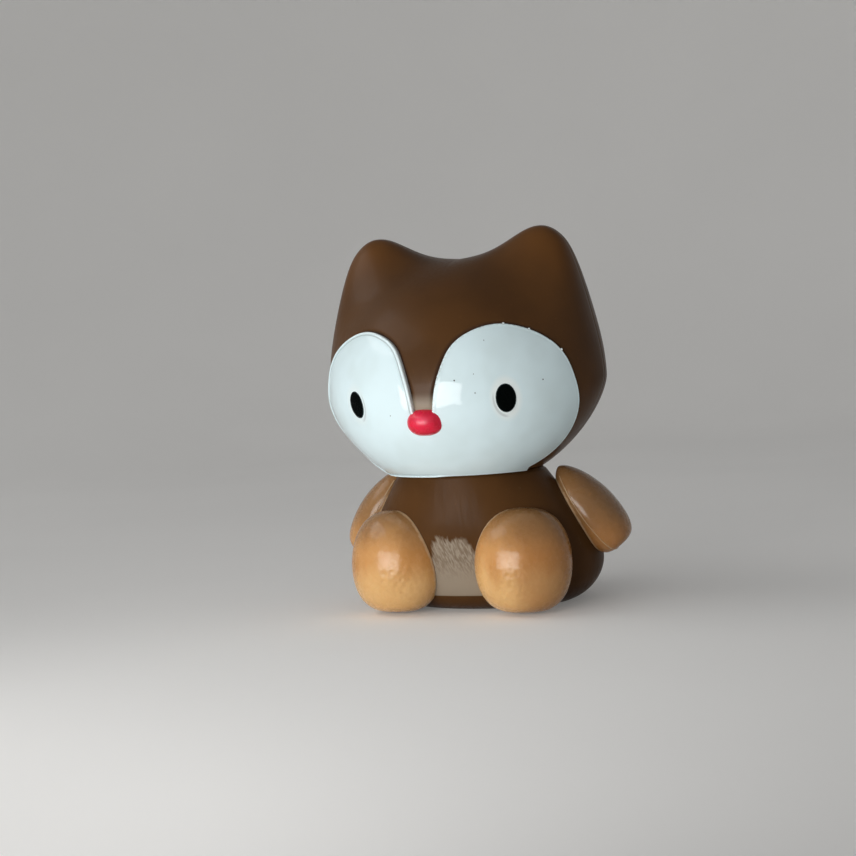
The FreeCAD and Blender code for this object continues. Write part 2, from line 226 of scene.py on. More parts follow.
class PaintColours(bpy.types.PropertyGroup):
    """Colours of the paints and plastics."""

    brown: colour("Brown", "Main brown of head and body", (0.086, 0.037, 0.0112))
    brown_dark: colour("Dark brown", "Brown where the paint lies thick", (0.062, 0.027, 0.009))
    # Lighter, warmer brown on the ears, strongest on the front half and towards the tips.
    ear_brown: colour("Ear brown", "Thinner, warmer brown on the ears", (0.138, 0.056, 0.0145))
    # Grey streaks: a painted reflection on the lower belly and over the nose, and a few random worn streaks
    # elsewhere.
    worn: colour("Worn streaks", "Grey streaks of the brushed lower belly", (0.340, 0.287, 0.220))
    mask_white: colour("Mask white", "Cool white of the face plate", (0.70, 0.84, 0.87))
    mask_shade: colour("Mask shade", "Greyer white where the plate's paint is thin", (0.66, 0.79, 0.81))
    nose_red: colour("Nose red", "Pink red of the nose", (0.72, 0.012, 0.048))
    # Painted highlight on the nose's crown.
    nose_highlight_pink: colour("Nose pink", "Lighter pink of the nose's crown", (0.83, 0.10, 0.17))
    eye_black: colour("Eye black", "Black of the eyes", (0.0008, 0.0016, 0.0014))
    caramel: colour("Caramel", "Main caramel of feet and arms", (0.58, 0.290, 0.100))
    caramel_dark: colour("Dark caramel", "Caramel where the paint lies thick", (0.50, 0.225, 0.062))
    # Painted shade on the fox's left, the side away from the light.
    caramel_side_painted_shade: colour("Deep caramel", "Deeper caramel on the fox's left", (0.36, 0.145, 0.040))
    # Painted light: lighter caramel towards the soles.
    caramel_painted_light: colour("Low caramel", "Lighter caramel towards the soles", (0.73, 0.45, 0.185))
    # Painted shade: darker, greyer caramel towards the limbs' tops.
    caramel_top_painted_shade: colour("Top caramel", "Greyer caramel towards the limbs' tops", (0.245, 0.130, 0.054))
    caramel_pale: colour("Pale caramel", "Bare plastic at the limbs' edges", (0.60, 0.42, 0.25))
    plug_plastic: colour("Plug plastic", "Bare plastic of the neck plug", (0.55, 0.53, 0.48))
    floor: colour("Floor", "Pale studio floor", (0.80, 0.79, 0.77))


class StageSizes(bpy.types.PropertyGroup):
    """Floor, lamps and camera."""

    floor_radius: length("Floor radius", "Flat part of the floor", 300.0)
    wall_radius: length("Wall radius", "Radius of the curve up to the backdrop", 160.0)
    wall_height: length("Wall height", "Height of the backdrop", 420.0)
    camera_place: spot("Camera place", "Where the camera stands", (75.889, -207.208, 35.864))
    camera_azimuth: angle("Camera azimuth", "How far round to the fox's left the camera stands", 21.9)
    camera_elevation: angle("Camera elevation", "How far up the camera looks from", 3.0)
    camera_roll: angle("Camera roll", "Turn of the picture", -3.5)
    camera_lens: FloatProperty(name="Lens", description="Focal length in millimetres", default=67.29)
    key_place: spot("Key place", "Middle of the window lamp", (-30.0, -135.0, 26.0))
    key_target: spot("Key target", "What the window lamp looks at", (0.0, -10.0, 18.0))
    key_size: spot("Key size", "Width and height of the window lamp", (120.0, 50.0))
    key_power: strength("Key power", "Power of the window lamp", 0.0445)
    key_spread: angle("Key spread", "How widely the window lamp shines", 100.0)
    fill_place: spot("Fill place", "Middle of the softbox", (-420.0, -190.0, 250.0))
    fill_target: spot("Fill target", "What the softbox looks at", (0.0, 0.0, 20.0))
    fill_size: spot("Fill size", "Width and height of the softbox", (500.0, 500.0))
    fill_power: strength("Fill power", "Power of the softbox", 1.45)
    fill_spread: angle("Fill spread", "How widely the softbox shines", 180.0)
    floor_glow: FloatProperty(name="Floor glow", description="Glow of the floor as it is seen", default=0.14)
    world_strength: FloatProperty(name="World strength", description="Light from all round", default=0.2)


MASK_HALF_OUTLINE_SHARES = (
    (0.041, 0.570),
    (0.056, 0.672),
    (0.088, 0.780),
    (0.138, 0.879),
    (0.221, 0.947),
    (0.365, 1.000),
    (0.500, 0.997),
    (0.670, 0.950),
    (0.826, 0.845),
    (0.935, 0.659),
    (0.994, 0.480),
    (0.985, 0.280),
    (0.880, 0.110),
    (0.706, 0.022),
    (0.574, 0.000),
)
# About how much longer a distance is on the mask's plane than on the face
PLANE_STRETCH = 1.3
# A gap in millimetres that stands for far away from the face plate
FAR_GAP = 9.0
# Places of the paint nubs as shares of the outline's half width
NUB_SHARES = (0.4, 0.56, 0.8)
NUB_FLATNESS = 0.7
NUB_SEED = 4
SPECK_FLATNESS = 0.6
SPECK_SEED = 11
# Points round and along the nose, how square it is, and the depth of its waves as a share of its size
NOSE_NET = (97, 65)
NOSE_ROUNDNESS = 0.88
NOSE_DEPTH_ROUNDNESS = 1.25
NOSE_WAVE = 0.008
# Points round the body and the floor
BODY_SIDES = 192
FLOOR_SIDES = 128
# Side and height in millimetres of the crackled lacquer on each foot
CRACKLE_PLACES = {"right_foot": (-7.0, 5.2), "left_foot": (8.7, 4.9)}
# Side and height of the dust specks in millimetres on the outline's plane
SPECK_PLACES = ((9.8, 37.2), (7.9, 31.9), (8.0, 29.1), (5.0, 31.1), (20.8, 30.3), (-5.4, 26.4))
BODY_LEVEL_SHARES = (
    (0.0, 0.72, 0.65, -0.22),
    (0.027, 0.79, 0.76, -0.22),
    (0.102, 0.90, 0.905, -0.22),
    (0.28, 1.0, 1.0, -0.17),
    (0.505, 0.957, 0.97, 0.22),
    (0.731, 0.811, 0.86, 0.64),
)


# Plain mesh tools


def mesh_piece(name, points, faces):
    """A new object at the origin from points and faces, shaded smooth."""
    mesh = bpy.data.meshes.new(name)
    mesh.from_pydata([tuple(point) for point in points], [], [tuple(face) for face in faces])
    mesh.validate()
    mesh.update()
    piece = bpy.data.objects.new(name, mesh)
    bpy.context.scene.collection.objects.link(piece)
    mesh.shade_smooth()
    return piece


def face_outwards(piece, merge=1e-7):
    """Close the poles and seams and turn every face outwards."""
    work = bmesh.new()
    work.from_mesh(piece.data)
    bmesh.ops.remove_doubles(work, verts=work.verts, dist=merge)
    bmesh.ops.dissolve_degenerate(work, edges=work.edges, dist=merge)
    bmesh.ops.recalc_face_normals(work, faces=work.faces)
    work.to_mesh(piece.data)
    work.free()
    piece.data.shade_smooth()
    piece.data.update()


def sharpen(piece, limit):
    """Keep edges steeper than a limit crisp and the rest smooth."""
    piece.data.set_sharp_from_angle(angle=math.radians(limit))


def strip(rows, closed):
    """Quads between rows of point numbers."""
    faces = []
    for lower, upper in zip(rows, rows[1:]):
        count = len(lower)
        for step in range(count if closed else count - 1):
            after = (step + 1) % count
            faces.append((lower[step], lower[after], upper[after], upper[step]))
    return faces


def numbered_rows(rows, count):
    """Point numbers of a net, row by row."""
    return [list(range(row * count, (row + 1) * count)) for row in range(rows)]


def stacked_ovals(rows, count):
    """Points and point numbers of level ovals, given as height, half width, half depth and middle."""
    around = np.linspace(0, 2 * math.pi, count, endpoint=False)
    rings = []
    for height, half_width, half_depth, middle in rows:
        ring = (half_width * np.cos(around), middle + half_depth * np.sin(around), np.full(count, height))
        rings.append(np.stack(ring, axis=-1))
    return np.vstack(rings), numbered_rows(len(rows), count)


def mark(piece, name, values):
    """Store one number per point for the paint to read."""
    layer = piece.data.attributes.new(name, "FLOAT", "POINT")
    layer.data.foreach_set("value", np.asarray(values, np.float32))


def points_of(piece):
    """The points of a piece as an array."""
    flat = np.zeros(len(piece.data.vertices) * 3, np.float32)
    piece.data.vertices.foreach_get("co", flat)
    return flat.reshape(-1, 3).astype(float)


def dress(piece, body, node, material):
    """Give a piece its material and tie it to the frame."""
    piece.data.materials.clear()
    piece.data.materials.append(material)
    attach(piece, body)
    if node:
        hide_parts(node)


def eased(share):
    """A share from none to one that starts and ends gently."""
    return share**2 * (3 - 2 * share)


def signed_power(values, power):
    """Values raised to a power with their signs kept."""
    return np.sign(values) * np.abs(values) ** power


def lengths_along(points):
    """How far each point of an open line lies from its start."""
    return np.concatenate([[0], np.cumsum(np.linalg.norm(np.diff(points, axis=0), axis=1))])


def natural_spline(places, values, wanted):
    """A natural cubic spline through values at increasing places, read at wanted places."""
    places = np.asarray(places, float)
    values = np.asarray(values, float)
    steps = np.diff(places)
    count = len(places)
    matrix = np.zeros((count, count))
    right = np.zeros((count,) + values.shape[1:])
    matrix[0, 0] = matrix[-1, -1] = 1.0
    for row in range(1, count - 1):
        matrix[row, row - 1] = steps[row - 1]
        matrix[row, row] = 2 * (steps[row - 1] + steps[row])
        matrix[row, row + 1] = steps[row]
        rise_after = (values[row + 1] - values[row]) / steps[row]
        rise_before = (values[row] - values[row - 1]) / steps[row - 1]
        right[row] = 6 * (rise_after - rise_before)
    bend = np.linalg.solve(matrix, right)
    wanted = np.asarray(wanted, float)
    span = np.clip(np.searchsorted(places, wanted) - 1, 0, count - 2)
    step = steps[span]
    ahead = (wanted - places[span]) / step
    behind = 1 - ahead
    if values.ndim > 1:
        ahead, behind, step = ahead[:, None], behind[:, None], step[:, None]
    curve = behind * values[span] + ahead * values[span + 1]
    curve += ((behind**3 - behind) * bend[span] + (ahead**3 - ahead) * bend[span + 1]) * step**2 / 6
    return curve


# Form of the head


def ear_bump(side, depth, growth):
    """How far the ears lift the crown."""
    head = bpy.context.scene.fox_head
    spread = np.where(np.abs(side) < head.ear_spread, head.ear_inner_spread, head.ear_outer_spread)
    across = (np.abs(np.abs(side) - head.ear_spread) / (spread + growth)) ** head.ear_side_power
    along = (np.abs(depth) / (head.ear_half_thickness + growth)) ** head.ear_face_power
    fade = 1 - np.clip(np.abs(side) / (head.half_width + growth), 0, 1) ** head.ear_fade_power
    return head.ear_rise * np.exp(-across) * np.exp(-along) * fade


def head_section(side, facing, growth):
    """Half depth, rise and drop of the head's section at a place beside its middle."""
    head = bpy.context.scene.fox_head
    narrowing = np.sqrt(np.clip(1 - (side / (head.half_width + growth)) ** 2, 1e-9, 1))
    face_depth = (head.face_half_depth + growth) * narrowing**head.face_roundness
    nape_depth = (head.nape_half_depth + growth) * narrowing**head.nape_roundness
    half_depth = np.where(facing < 0, face_depth, nape_depth)
    rise = (head.rise + growth) * narrowing**head.crown_roundness
    drop = (head.drop + growth) * narrowing**head.jaw_roundness
    return half_depth, rise, drop


def head_points(turn, climb, facing, growth=0.0):
    """Points of the head at turns from the middle plane and climbs from the chin to the crown."""
    head = bpy.context.scene.fox_head
    side = (head.half_width + growth) * np.sin(turn)
    half_depth, rise, drop = head_section(side, facing, growth)
    depth = facing * half_depth * np.cos(climb)
    lift = np.sin(climb)
    bump = ear_bump(side, depth, growth) * lift * (2 - lift)
    height = np.where(lift > 0, rise * lift + bump, drop * lift)
    height = height + head.widest_height + head.back_lift * depth
    return np.stack([side, depth + NECK_PLACE[1], height], axis=-1)


def head_excess(points, growth):
    """Above zero outside the head grown by a length, and below zero inside."""
    head = bpy.context.scene.fox_head
    side, depth = points[..., 0], points[..., 1] - NECK_PLACE[1]
    half_depth, rise, drop = head_section(side, depth, growth)
    lift = points[..., 2] - head.widest_height - head.back_lift * depth
    level = np.sqrt(np.clip(1 - (depth / half_depth) ** 2, 0, 1))
    bump = ear_bump(side, depth, growth) * level * (2 - level)
    climb = np.where(lift > 0, np.maximum(lift - bump, 0) / rise, lift / drop)
    outside = np.abs(side) / (head.half_width + growth) - 1
    inside = (depth / half_depth) ** 2 + climb**2 - 1
    return np.where(outside > 0, 1 + outside, inside)


def on_face(places, growth):
    """Points where rays from inside the head, through places on the mask's plane, leave the grown head."""
    mask = bpy.context.scene.fox_mask
    origin = np.array([0.0, mask.origin_setback + NECK_PLACE[1], mask.origin_height])
    plane = NECK_PLACE[1] - mask.plane_lead
    places = np.asarray(places, float)
    ends = np.stack([places[:, 0], np.full(len(places), plane), places[:, 1]], axis=-1)
    way = ends - origin
    near, far = np.full(len(places), 0.05), np.full(len(places), 1.4)
    for _ in range(44):
        middle = (near + far) / 2
        outside = head_excess(origin + way * middle[:, None], growth) > 0
        far = np.where(outside, middle, far)
        near = np.where(outside, near, middle)
    return origin + way * near[:, None]


def face_place(side, height, growth):
    """The point of the face at a place beside and above the base, seen straight from the front."""
    low, high = NECK_PLACE[1] - bpy.context.scene.fox_head.face_half_depth - 3 * MM, NECK_PLACE[1]
    for _ in range(40):
        middle = (low + high) / 2
        outside = head_excess(np.array([[side, middle, height]]), growth)[0] > 0
        low, high = (middle, high) if outside else (low, middle)
    return np.array([side, low, height])


def on_plane(points):
    """Places on the mask's plane behind which points of the head lie, and whether they face it."""
    mask = bpy.context.scene.fox_mask
    origin = np.array([0.0, mask.origin_setback + NECK_PLACE[1], mask.origin_height])
    plane = NECK_PLACE[1] - mask.plane_lead
    away = points - origin
    ahead = away[:, 1] < -1e-4
    reach = (plane - origin[1]) / np.where(ahead, away[:, 1], -1.0)
    return origin[[0, 2]] + away[:, [0, 2]] * reach[:, None], ahead


def even_loop(points, spacing):
    """A closed loop of points at an even spacing."""
    loop = np.vstack([points, points[:1]])
    along = lengths_along(loop)
    count = int(along[-1] / spacing)
    wanted = np.linspace(0, along[-1], count, endpoint=False)
    return np.stack([np.interp(wanted, along, loop[:, axis]) for axis in range(loop.shape[1])], axis=-1)


def mask_outline(spacing):
    """The face plate's outline on its plane: two lobes, the notch between them and the cut at the neck."""
    mask = bpy.context.scene.fox_mask
    head = bpy.context.scene.fox_head
    shares = np.array(MASK_HALF_OUTLINE_SHARES)
    rise = mask.bottom + shares[:, 1] * (mask.top - mask.bottom)
    half = np.stack([shares[:, 0] * mask.reach, rise], axis=-1)
    along = lengths_along(half)
    half = natural_spline(along, half, np.linspace(0, along[-1], 900))
    floor = NECK_PLACE[2] + head.neck_gap
    above = on_face(half, np.zeros(len(half)))[:, 2] > floor
    half = half[: np.argmin(above)] if not above.all() else half
    sides = np.linspace(half[-1, 0], 0, 160)[1:]
    low, high = np.full(len(sides), mask.bottom - 10 * MM), np.full(len(sides), half[-1, 1] + 6 * MM)
    for _ in range(40):
        middle = (low + high) / 2
        over = on_face(np.stack([sides, middle], axis=-1), np.zeros(len(sides)))[:, 2] > floor
        high = np.where(over, middle, high)
        low = np.where(over, low, middle)
    bottom = np.stack([sides, high], axis=-1)
    right = np.vstack([half, bottom])
    left = right[::-1][1:] * np.array([-1.0, 1.0])
    loop = even_loop(np.vstack([right, left]), spacing)
    for _ in range(6):
        loop = (np.roll(loop, 1, axis=0) + 2 * loop + np.roll(loop, -1, axis=0)) / 4
    return loop


def loop_distance(places, loop):
    """Distance of places from a closed loop, below zero inside it."""
    ends = np.roll(loop, -1, axis=0)
    nearest = np.full(len(places), 1e9)
    crossings = np.zeros(len(places), int)
    for start, end in zip(loop, ends):
        run = end - start
        away = places - start
        reach = np.clip((away @ run) / max(run @ run, 1e-18), 0, 1)
        nearest = np.minimum(nearest, np.hypot(*(away - reach[:, None] * run).T))
        spans = (start[1] > places[:, 1]) != (end[1] > places[:, 1])
        if run[1] != 0:
            crossings += spans & (places[:, 0] < start[0] + run[0] * (places[:, 1] - start[1]) / run[1])
    return np.where(crossings % 2 == 1, -nearest, nearest)


def inward_ways(loop):
    """Unit steps from each point of a closed loop to its inner side."""
    along = np.roll(loop, -1, axis=0) - np.roll(loop, 1, axis=0)
    ways = np.stack([-along[:, 1], along[:, 0]], axis=-1)
    ways /= np.linalg.norm(ways, axis=1)[:, None]
    area = np.sum(loop[:, 0] * np.roll(loop[:, 1], -1) - np.roll(loop[:, 0], -1) * loop[:, 1])
    return ways if area > 0 else -ways


def filled_plate(name, loop, insets, growth_at, spacing, back_growth):
    """A closed plate on the face, whose height over the head follows the distance inside its loop."""
    ways = inward_ways(loop)
    groups = [loop]
    for inset in insets[1:]:
        ring = loop + ways * inset
        groups.append(ring[-loop_distance(ring, loop) > inset * 0.93])
    low, high = loop.min(axis=0), loop.max(axis=0)
    grid = []
    for row, height in enumerate(np.arange(low[1], high[1], spacing * math.sqrt(3) / 2)):
        shift = spacing / 2 if row % 2 else 0
        grid.extend((side, height) for side in np.arange(low[0] + shift, high[0], spacing))
    grid = np.array(grid)
    groups.append(grid[-loop_distance(grid, loop) > insets[-1] + spacing * 0.55])
    flat = np.vstack(groups)
    edges = [(step, (step + 1) % len(loop)) for step in range(len(loop))]
    places, _, faces, _, _, _ = delaunay_2d_cdt([Vector(place) * 1000 for place in flat], edges, [], 1, 1e-5)
    places = np.array([tuple(place) for place in places]) / 1000
    growths = growth_at(-loop_distance(places, loop), places)
    top = on_face(places, growths)
    bottom = on_face(places, np.full(len(places), back_growth))
    total = len(places)
    uses = {}
    for face in faces:
        for first, second in zip(face, face[1:] + face[:1]):
            key = (min(first, second), max(first, second))
            uses[key] = uses.get(key, 0) + 1
    wall = [(a, b, b + total, a + total) for (a, b), count in uses.items() if count == 1]
    back = [tuple(total + corner for corner in reversed(face)) for face in faces]
    piece = mesh_piece(name, np.vstack([top, bottom]), list(faces) + back + wall)
    face_outwards(piece)
    return piece


# Form of the body


def body_profile(count):
    """Heights, half widths, half depths and middles of the body's ovals from the base to the neck."""
    body = bpy.context.scene.fox_body
    levels = []
    lead = -NECK_PLACE[1]
    for height_share, width_share, depth_share, lead_share in BODY_LEVEL_SHARES:
        levels.append(
            (
                NECK_PLACE[2] * height_share,
                body.half_width * width_share,
                body.half_depth * depth_share,
                -lead * lead_share,
            )
        )
    levels.append((NECK_PLACE[2], body.neck_half_width, body.neck_half_depth, -lead))
    levels = np.array(levels)
    along = lengths_along(levels[:, :2])
    return natural_spline(along, levels, np.linspace(0, along[-1], count))


def body_distance(points):
    """About how far points stand off the body, below zero inside it."""
    profile = body_profile(160)
    order = np.argsort(profile[:, 0])
    height = profile[order, 0]
    levels = [np.interp(points[:, 2], height, profile[order, axis]) for axis in (1, 2, 3)]
    half_width, half_depth, middle = levels
    around = np.hypot(points[:, 0] / half_width, (points[:, 1] - middle) / half_depth)
    reach = np.hypot(points[:, 0], points[:, 1] - middle)
    return reach - reach / np.maximum(around, 1e-6)


# Node trees that repeat or follow a rule


class Tree:
    """A small helper that adds and joins nodes."""

    def __init__(self, tree):
        self.tree = tree

    def add(self, kind, settings=None, **inputs):
        """Add a node; settings are its properties and inputs are values or sockets by name or number."""
        node = self.tree.nodes.new(kind)
        for name, value in (settings or {}).items():
            setattr(node, name, value)
        for name, value in inputs.items():
            key = int(name[1:]) if name[0] == "i" and name[1:].isdigit() else name.replace("_", " ")
            self.feed(node.inputs[key], value)
        return node

    def feed(self, socket, value):
        """Give a socket a value, or join another socket to it."""
        if isinstance(value, bpy.types.NodeSocket):
            self.tree.links.new(value, socket)
        else:
            socket.default_value = value

    def maths(self, operation, *values):
        """A Math node's result."""
        node = self.tree.nodes.new("ShaderNodeMath")
        node.operation = operation
        for number, value in enumerate(values):
            self.feed(node.inputs[number], value)
        return node.outputs[0]

    def vectors(self, operation, *values):
        """A Vector Math node's result."""
        node = self.tree.nodes.new("ShaderNodeVectorMath")
        node.operation = operation
        for number, value in enumerate(values):
            if operation == "SCALE" and number == 1:
                self.feed(node.inputs["Scale"], value)
            else:
                self.feed(node.inputs[number], value)
        return node.outputs["Vector"]


def geometry_tree(name, sockets):
    """A new geometry tree with named inputs and a mesh output."""
    group = bpy.data.node_groups.new(name, "GeometryNodeTree")
    group.interface.new_socket("Geometry", in_out="OUTPUT", socket_type="NodeSocketGeometry")
    group.interface.new_socket("Geometry", in_out="INPUT", socket_type="NodeSocketGeometry")
    for label, kind in sockets:
        group.interface.new_socket(label, in_out="INPUT", socket_type="NodeSocket" + kind)
    tree = Tree(group)
    start = group.nodes.new("NodeGroupInput")
    end = group.nodes.new("NodeGroupOutput")
    return tree, start.outputs, end.inputs[0]


def painted_end(tree, geometry, given, end):
    """End a geometry tree with its result made real and painted, and return the tree."""
    real = tree.add("GeometryNodeRealizeInstances", Geometry=geometry)
    painted = tree.add("GeometryNodeSetMaterial", Geometry=real.outputs[0], Material=given["Material"])
    tree.feed(end, painted.outputs[0])
    return tree.tree


def grown_piece(name, source, group, values):
    """Run a geometry tree on a source mesh and return its result as a plain mesh piece."""
    carrier = bpy.data.objects.new(name + "_source", source)
    bpy.context.scene.collection.objects.link(carrier)
    modifier = carrier.modifiers.new("Grow", "NODES")
    modifier.node_group = group
    for item in group.interface.items_tree:
        if item.item_type == "SOCKET" and item.in_out == "INPUT" and item.name in values:
            modifier[item.identifier] = values[item.name]
    bpy.context.view_layer.update()
    evaluated = carrier.evaluated_get(bpy.context.evaluated_depsgraph_get())
    mesh = bpy.data.meshes.new_from_object(evaluated)
    mesh.name = name
    carrier.modifiers.clear()
    bpy.data.objects.remove(carrier)
    piece = bpy.data.objects.new(name, mesh)
    bpy.context.scene.collection.objects.link(piece)
    if not len(mesh.vertices):
        raise RuntimeError("the tree made nothing for " + name)
    return piece


def lobe_tree():
    """A lobe of oval sections between two points, whose fullness follows a cosine."""
    sockets = [("Start", "Vector"), ("End", "Vector"), ("Outward", "Vector"), ("Half Thickness", "Float")]
    sockets += [("Half Breadth", "Float"), ("Swell", "Float"), ("Start Roundness", "Float")]
    sockets += [("End Roundness", "Float"), ("Taper", "Float"), ("Material", "Material")]
    tree, given, end = geometry_tree("Lobe", sockets)
    grid = tree.add("GeometryNodeMeshGrid", Size_X=1.0, Size_Y=1.0, Vertices_X=129, Vertices_Y=97)
    place = tree.add("GeometryNodeInputPosition").outputs[0]
    split = tree.add("ShaderNodeSeparateXYZ", Vector=place).outputs
    around = tree.maths("MULTIPLY", split[0], 2 * math.pi)
    turn = tree.maths("MULTIPLY", split[1], math.pi)
    climb = tree.maths("MULTIPLY_ADD", tree.maths("SINE", turn), 0.5, 0.5)
    along_share = tree.maths("POWER", climb, tree.maths("DIVIDE", 1.0, given["Swell"]))
    narrowing = tree.maths("MAXIMUM", tree.maths("COSINE", turn), 0.0)
    upper = tree.maths("GREATER_THAN", turn, 0.0)
    step = tree.maths("SUBTRACT", given["End Roundness"], given["Start Roundness"])
    roundness = tree.maths("MULTIPLY_ADD", upper, step, given["Start Roundness"])
    fullness = tree.maths("POWER", narrowing, roundness)
    lean = tree.maths("MULTIPLY_ADD", along_share, 2.0, -1.0)
    fullness = tree.maths("MULTIPLY", fullness, tree.maths("MULTIPLY_ADD", lean, given["Taper"], 1.0))
    spine = tree.vectors("SUBTRACT", given["End"], given["Start"])
    along = tree.vectors("NORMALIZE", spine)
    broad = tree.vectors("NORMALIZE", tree.vectors("CROSS_PRODUCT", along, given["Outward"]))
    thick = tree.vectors("CROSS_PRODUCT", broad, along)
    wide = tree.maths("MULTIPLY", tree.maths("COSINE", around), fullness)
    wide = tree.maths("MULTIPLY", wide, given["Half Breadth"])
    deep = tree.maths("MULTIPLY", tree.maths("SINE", around), fullness)
    deep = tree.maths("MULTIPLY", deep, given["Half Thickness"])
    point = tree.vectors("ADD", given["Start"], tree.vectors("SCALE", spine, along_share))
    point = tree.vectors("ADD", point, tree.vectors("SCALE", broad, wide))
    point = tree.vectors("ADD", point, tree.vectors("SCALE", thick, deep))
    moved = tree.add("GeometryNodeSetPosition", Geometry=grid.outputs["Mesh"], Position=point)
    closed = tree.add("GeometryNodeMergeByDistance", Geometry=moved.outputs[0], Distance=1e-6)
    return painted_end(tree, closed.outputs[0], given, end)


def bead_tree():
    """A thin bead that follows the source's edges, thinning where a slow noise says."""
    sockets = [("Radius", "Float"), ("Seed", "Float"), ("Material", "Material")]
    tree, given, end = geometry_tree("Bead", sockets)
    path = tree.add("GeometryNodeMeshToCurve", Mesh=given["Geometry"])
    ripple = tree.add(
        "ShaderNodeTexNoise", {"noise_dimensions": "4D"}, Scale=420.0, Detail=1.0, W=given["Seed"]
    )
    thickness = tree.add(
        "ShaderNodeMapRange",
        Value=ripple.outputs[0],
        From_Min=0.3,
        From_Max=0.7,
        To_Min=0.55,
        To_Max=1.25,
    )
    profile = tree.add("GeometryNodeCurvePrimitiveCircle", Resolution=10, Radius=given["Radius"])
    tube = tree.add(
        "GeometryNodeCurveToMesh",
        Curve=path.outputs[0],
        Profile_Curve=profile.outputs[0],
        Scale=thickness.outputs[0],
    )
    return painted_end(tree, tube.outputs[0], given, end)


def blob_scatter_tree():
    """Small flattened blobs of chance size on the points of the source, turned at random."""
    sockets = [("Largest Radius", "Float"), ("Flatness", "Float"), ("Seed", "Int"), ("Material", "Material")]
    tree, given, end = geometry_tree("Blob Scatter", sockets)
    points = tree.add("GeometryNodeMeshToPoints", Mesh=given["Geometry"])
    ball = tree.add("GeometryNodeMeshIcoSphere", Radius=1.0, Subdivisions=3)
    soft = tree.add("GeometryNodeSetShadeSmooth", Geometry=ball.outputs[0])
    other_seed = tree.maths("ADD", given["Seed"], 7.0)
    size = tree.add("FunctionNodeRandomValue", {"data_type": "FLOAT"}, i2=0.45, i3=1.0, Seed=other_seed)
    size = tree.maths("MULTIPLY", size.outputs[1], given["Largest Radius"])
    flat = tree.maths("MULTIPLY", size, given["Flatness"])
    scale = tree.add("ShaderNodeCombineXYZ", X=size, Y=flat, Z=size)
    placed = tree.add(
        "GeometryNodeInstanceOnPoints",
        Points=points.outputs[0],
        Instance=soft.outputs[0],
        Scale=scale.outputs[0],
    )
    return painted_end(tree, placed.outputs[0], given, end)


def grown_blobs(name, points, largest_radius, flatness, seed, paint):
    """Blobs of chance size on given points."""
    source = bpy.data.meshes.new(name + "_places")
    source.from_pydata([tuple(point) for point in points], [], [])
    values = {"Largest Radius": largest_radius, "Flatness": flatness, "Seed": seed, "Material": paint}
    return grown_piece(name, source, blob_scatter_tree(), values)


# Paints


def new_paint(name):
    """An empty material with its tree helper and shader."""
    material = bpy.data.materials.new(name)
    material.use_nodes = True
    tree = Tree(material.node_tree)
    tree.tree.nodes.clear()
    shader = tree.tree.nodes.new("ShaderNodeBsdfPrincipled")
    end = tree.tree.nodes.new("ShaderNodeOutputMaterial")
    tree.tree.links.new(shader.outputs[0], end.inputs["Surface"])
    return material, tree, shader


def set_shader(tree, shader, **values):
    """Give the shader's inputs values or results, by name with underscores for spaces."""
    for name, value in values.items():
        tree.feed(shader.inputs[name.replace("_", " ")], value)


def object_place(tree):
    """The point's place on the object."""
    return tree.add("ShaderNodeTexCoord").outputs["Object"]


def grain(tree, place, size, detail=2.0, stretch=(1.0, 1.0, 1.0), seed=0.0):
    """Noise whose features have about a given size in metres."""
    mapped = tree.add("ShaderNodeMapping", Vector=place, Location=(seed, seed, seed), Scale=stretch)
    noise = tree.add("ShaderNodeTexNoise", Vector=mapped.outputs[0], Scale=1.0 / size, Detail=detail)
    return noise.outputs[0]


def ramp(tree, value, low, high, to_low=0.0, to_high=1.0):
    """A value mapped smoothly from one range to another."""
    node = tree.add(
        "ShaderNodeMapRange",
        {"interpolation_type": "SMOOTHSTEP"},
        Value=value,
        From_Min=low,
        From_Max=high,
        To_Min=to_low,
        To_Max=to_high,
    )
    return node.outputs[0]


def tint(tree, factor, first, second):
    """One colour turning into another."""
    node = tree.tree.nodes.new("ShaderNodeMix")
    node.data_type = "RGBA"
    tree.feed(node.inputs[0], factor)
    for socket, value in ((node.inputs[6], first), (node.inputs[7], second)):
        tree.feed(socket, value if isinstance(value, bpy.types.NodeSocket) else (*value, 1.0))
    return node.outputs[2]


def reading(tree, name):
    """A number that was stored per point."""
    return tree.add("ShaderNodeAttribute", {"attribute_name": name}).outputs["Fac"]


def dents(tree, *layers):
    """Bump from heights in metres, laid over each other."""
    normal = None
    for height, depth, strength in layers:
        bump = tree.add("ShaderNodeBump", Height=height, Distance=depth, Strength=strength)
        if normal is not None:
            tree.feed(bump.inputs["Normal"], normal)
        normal = bump.outputs[0]
    return normal


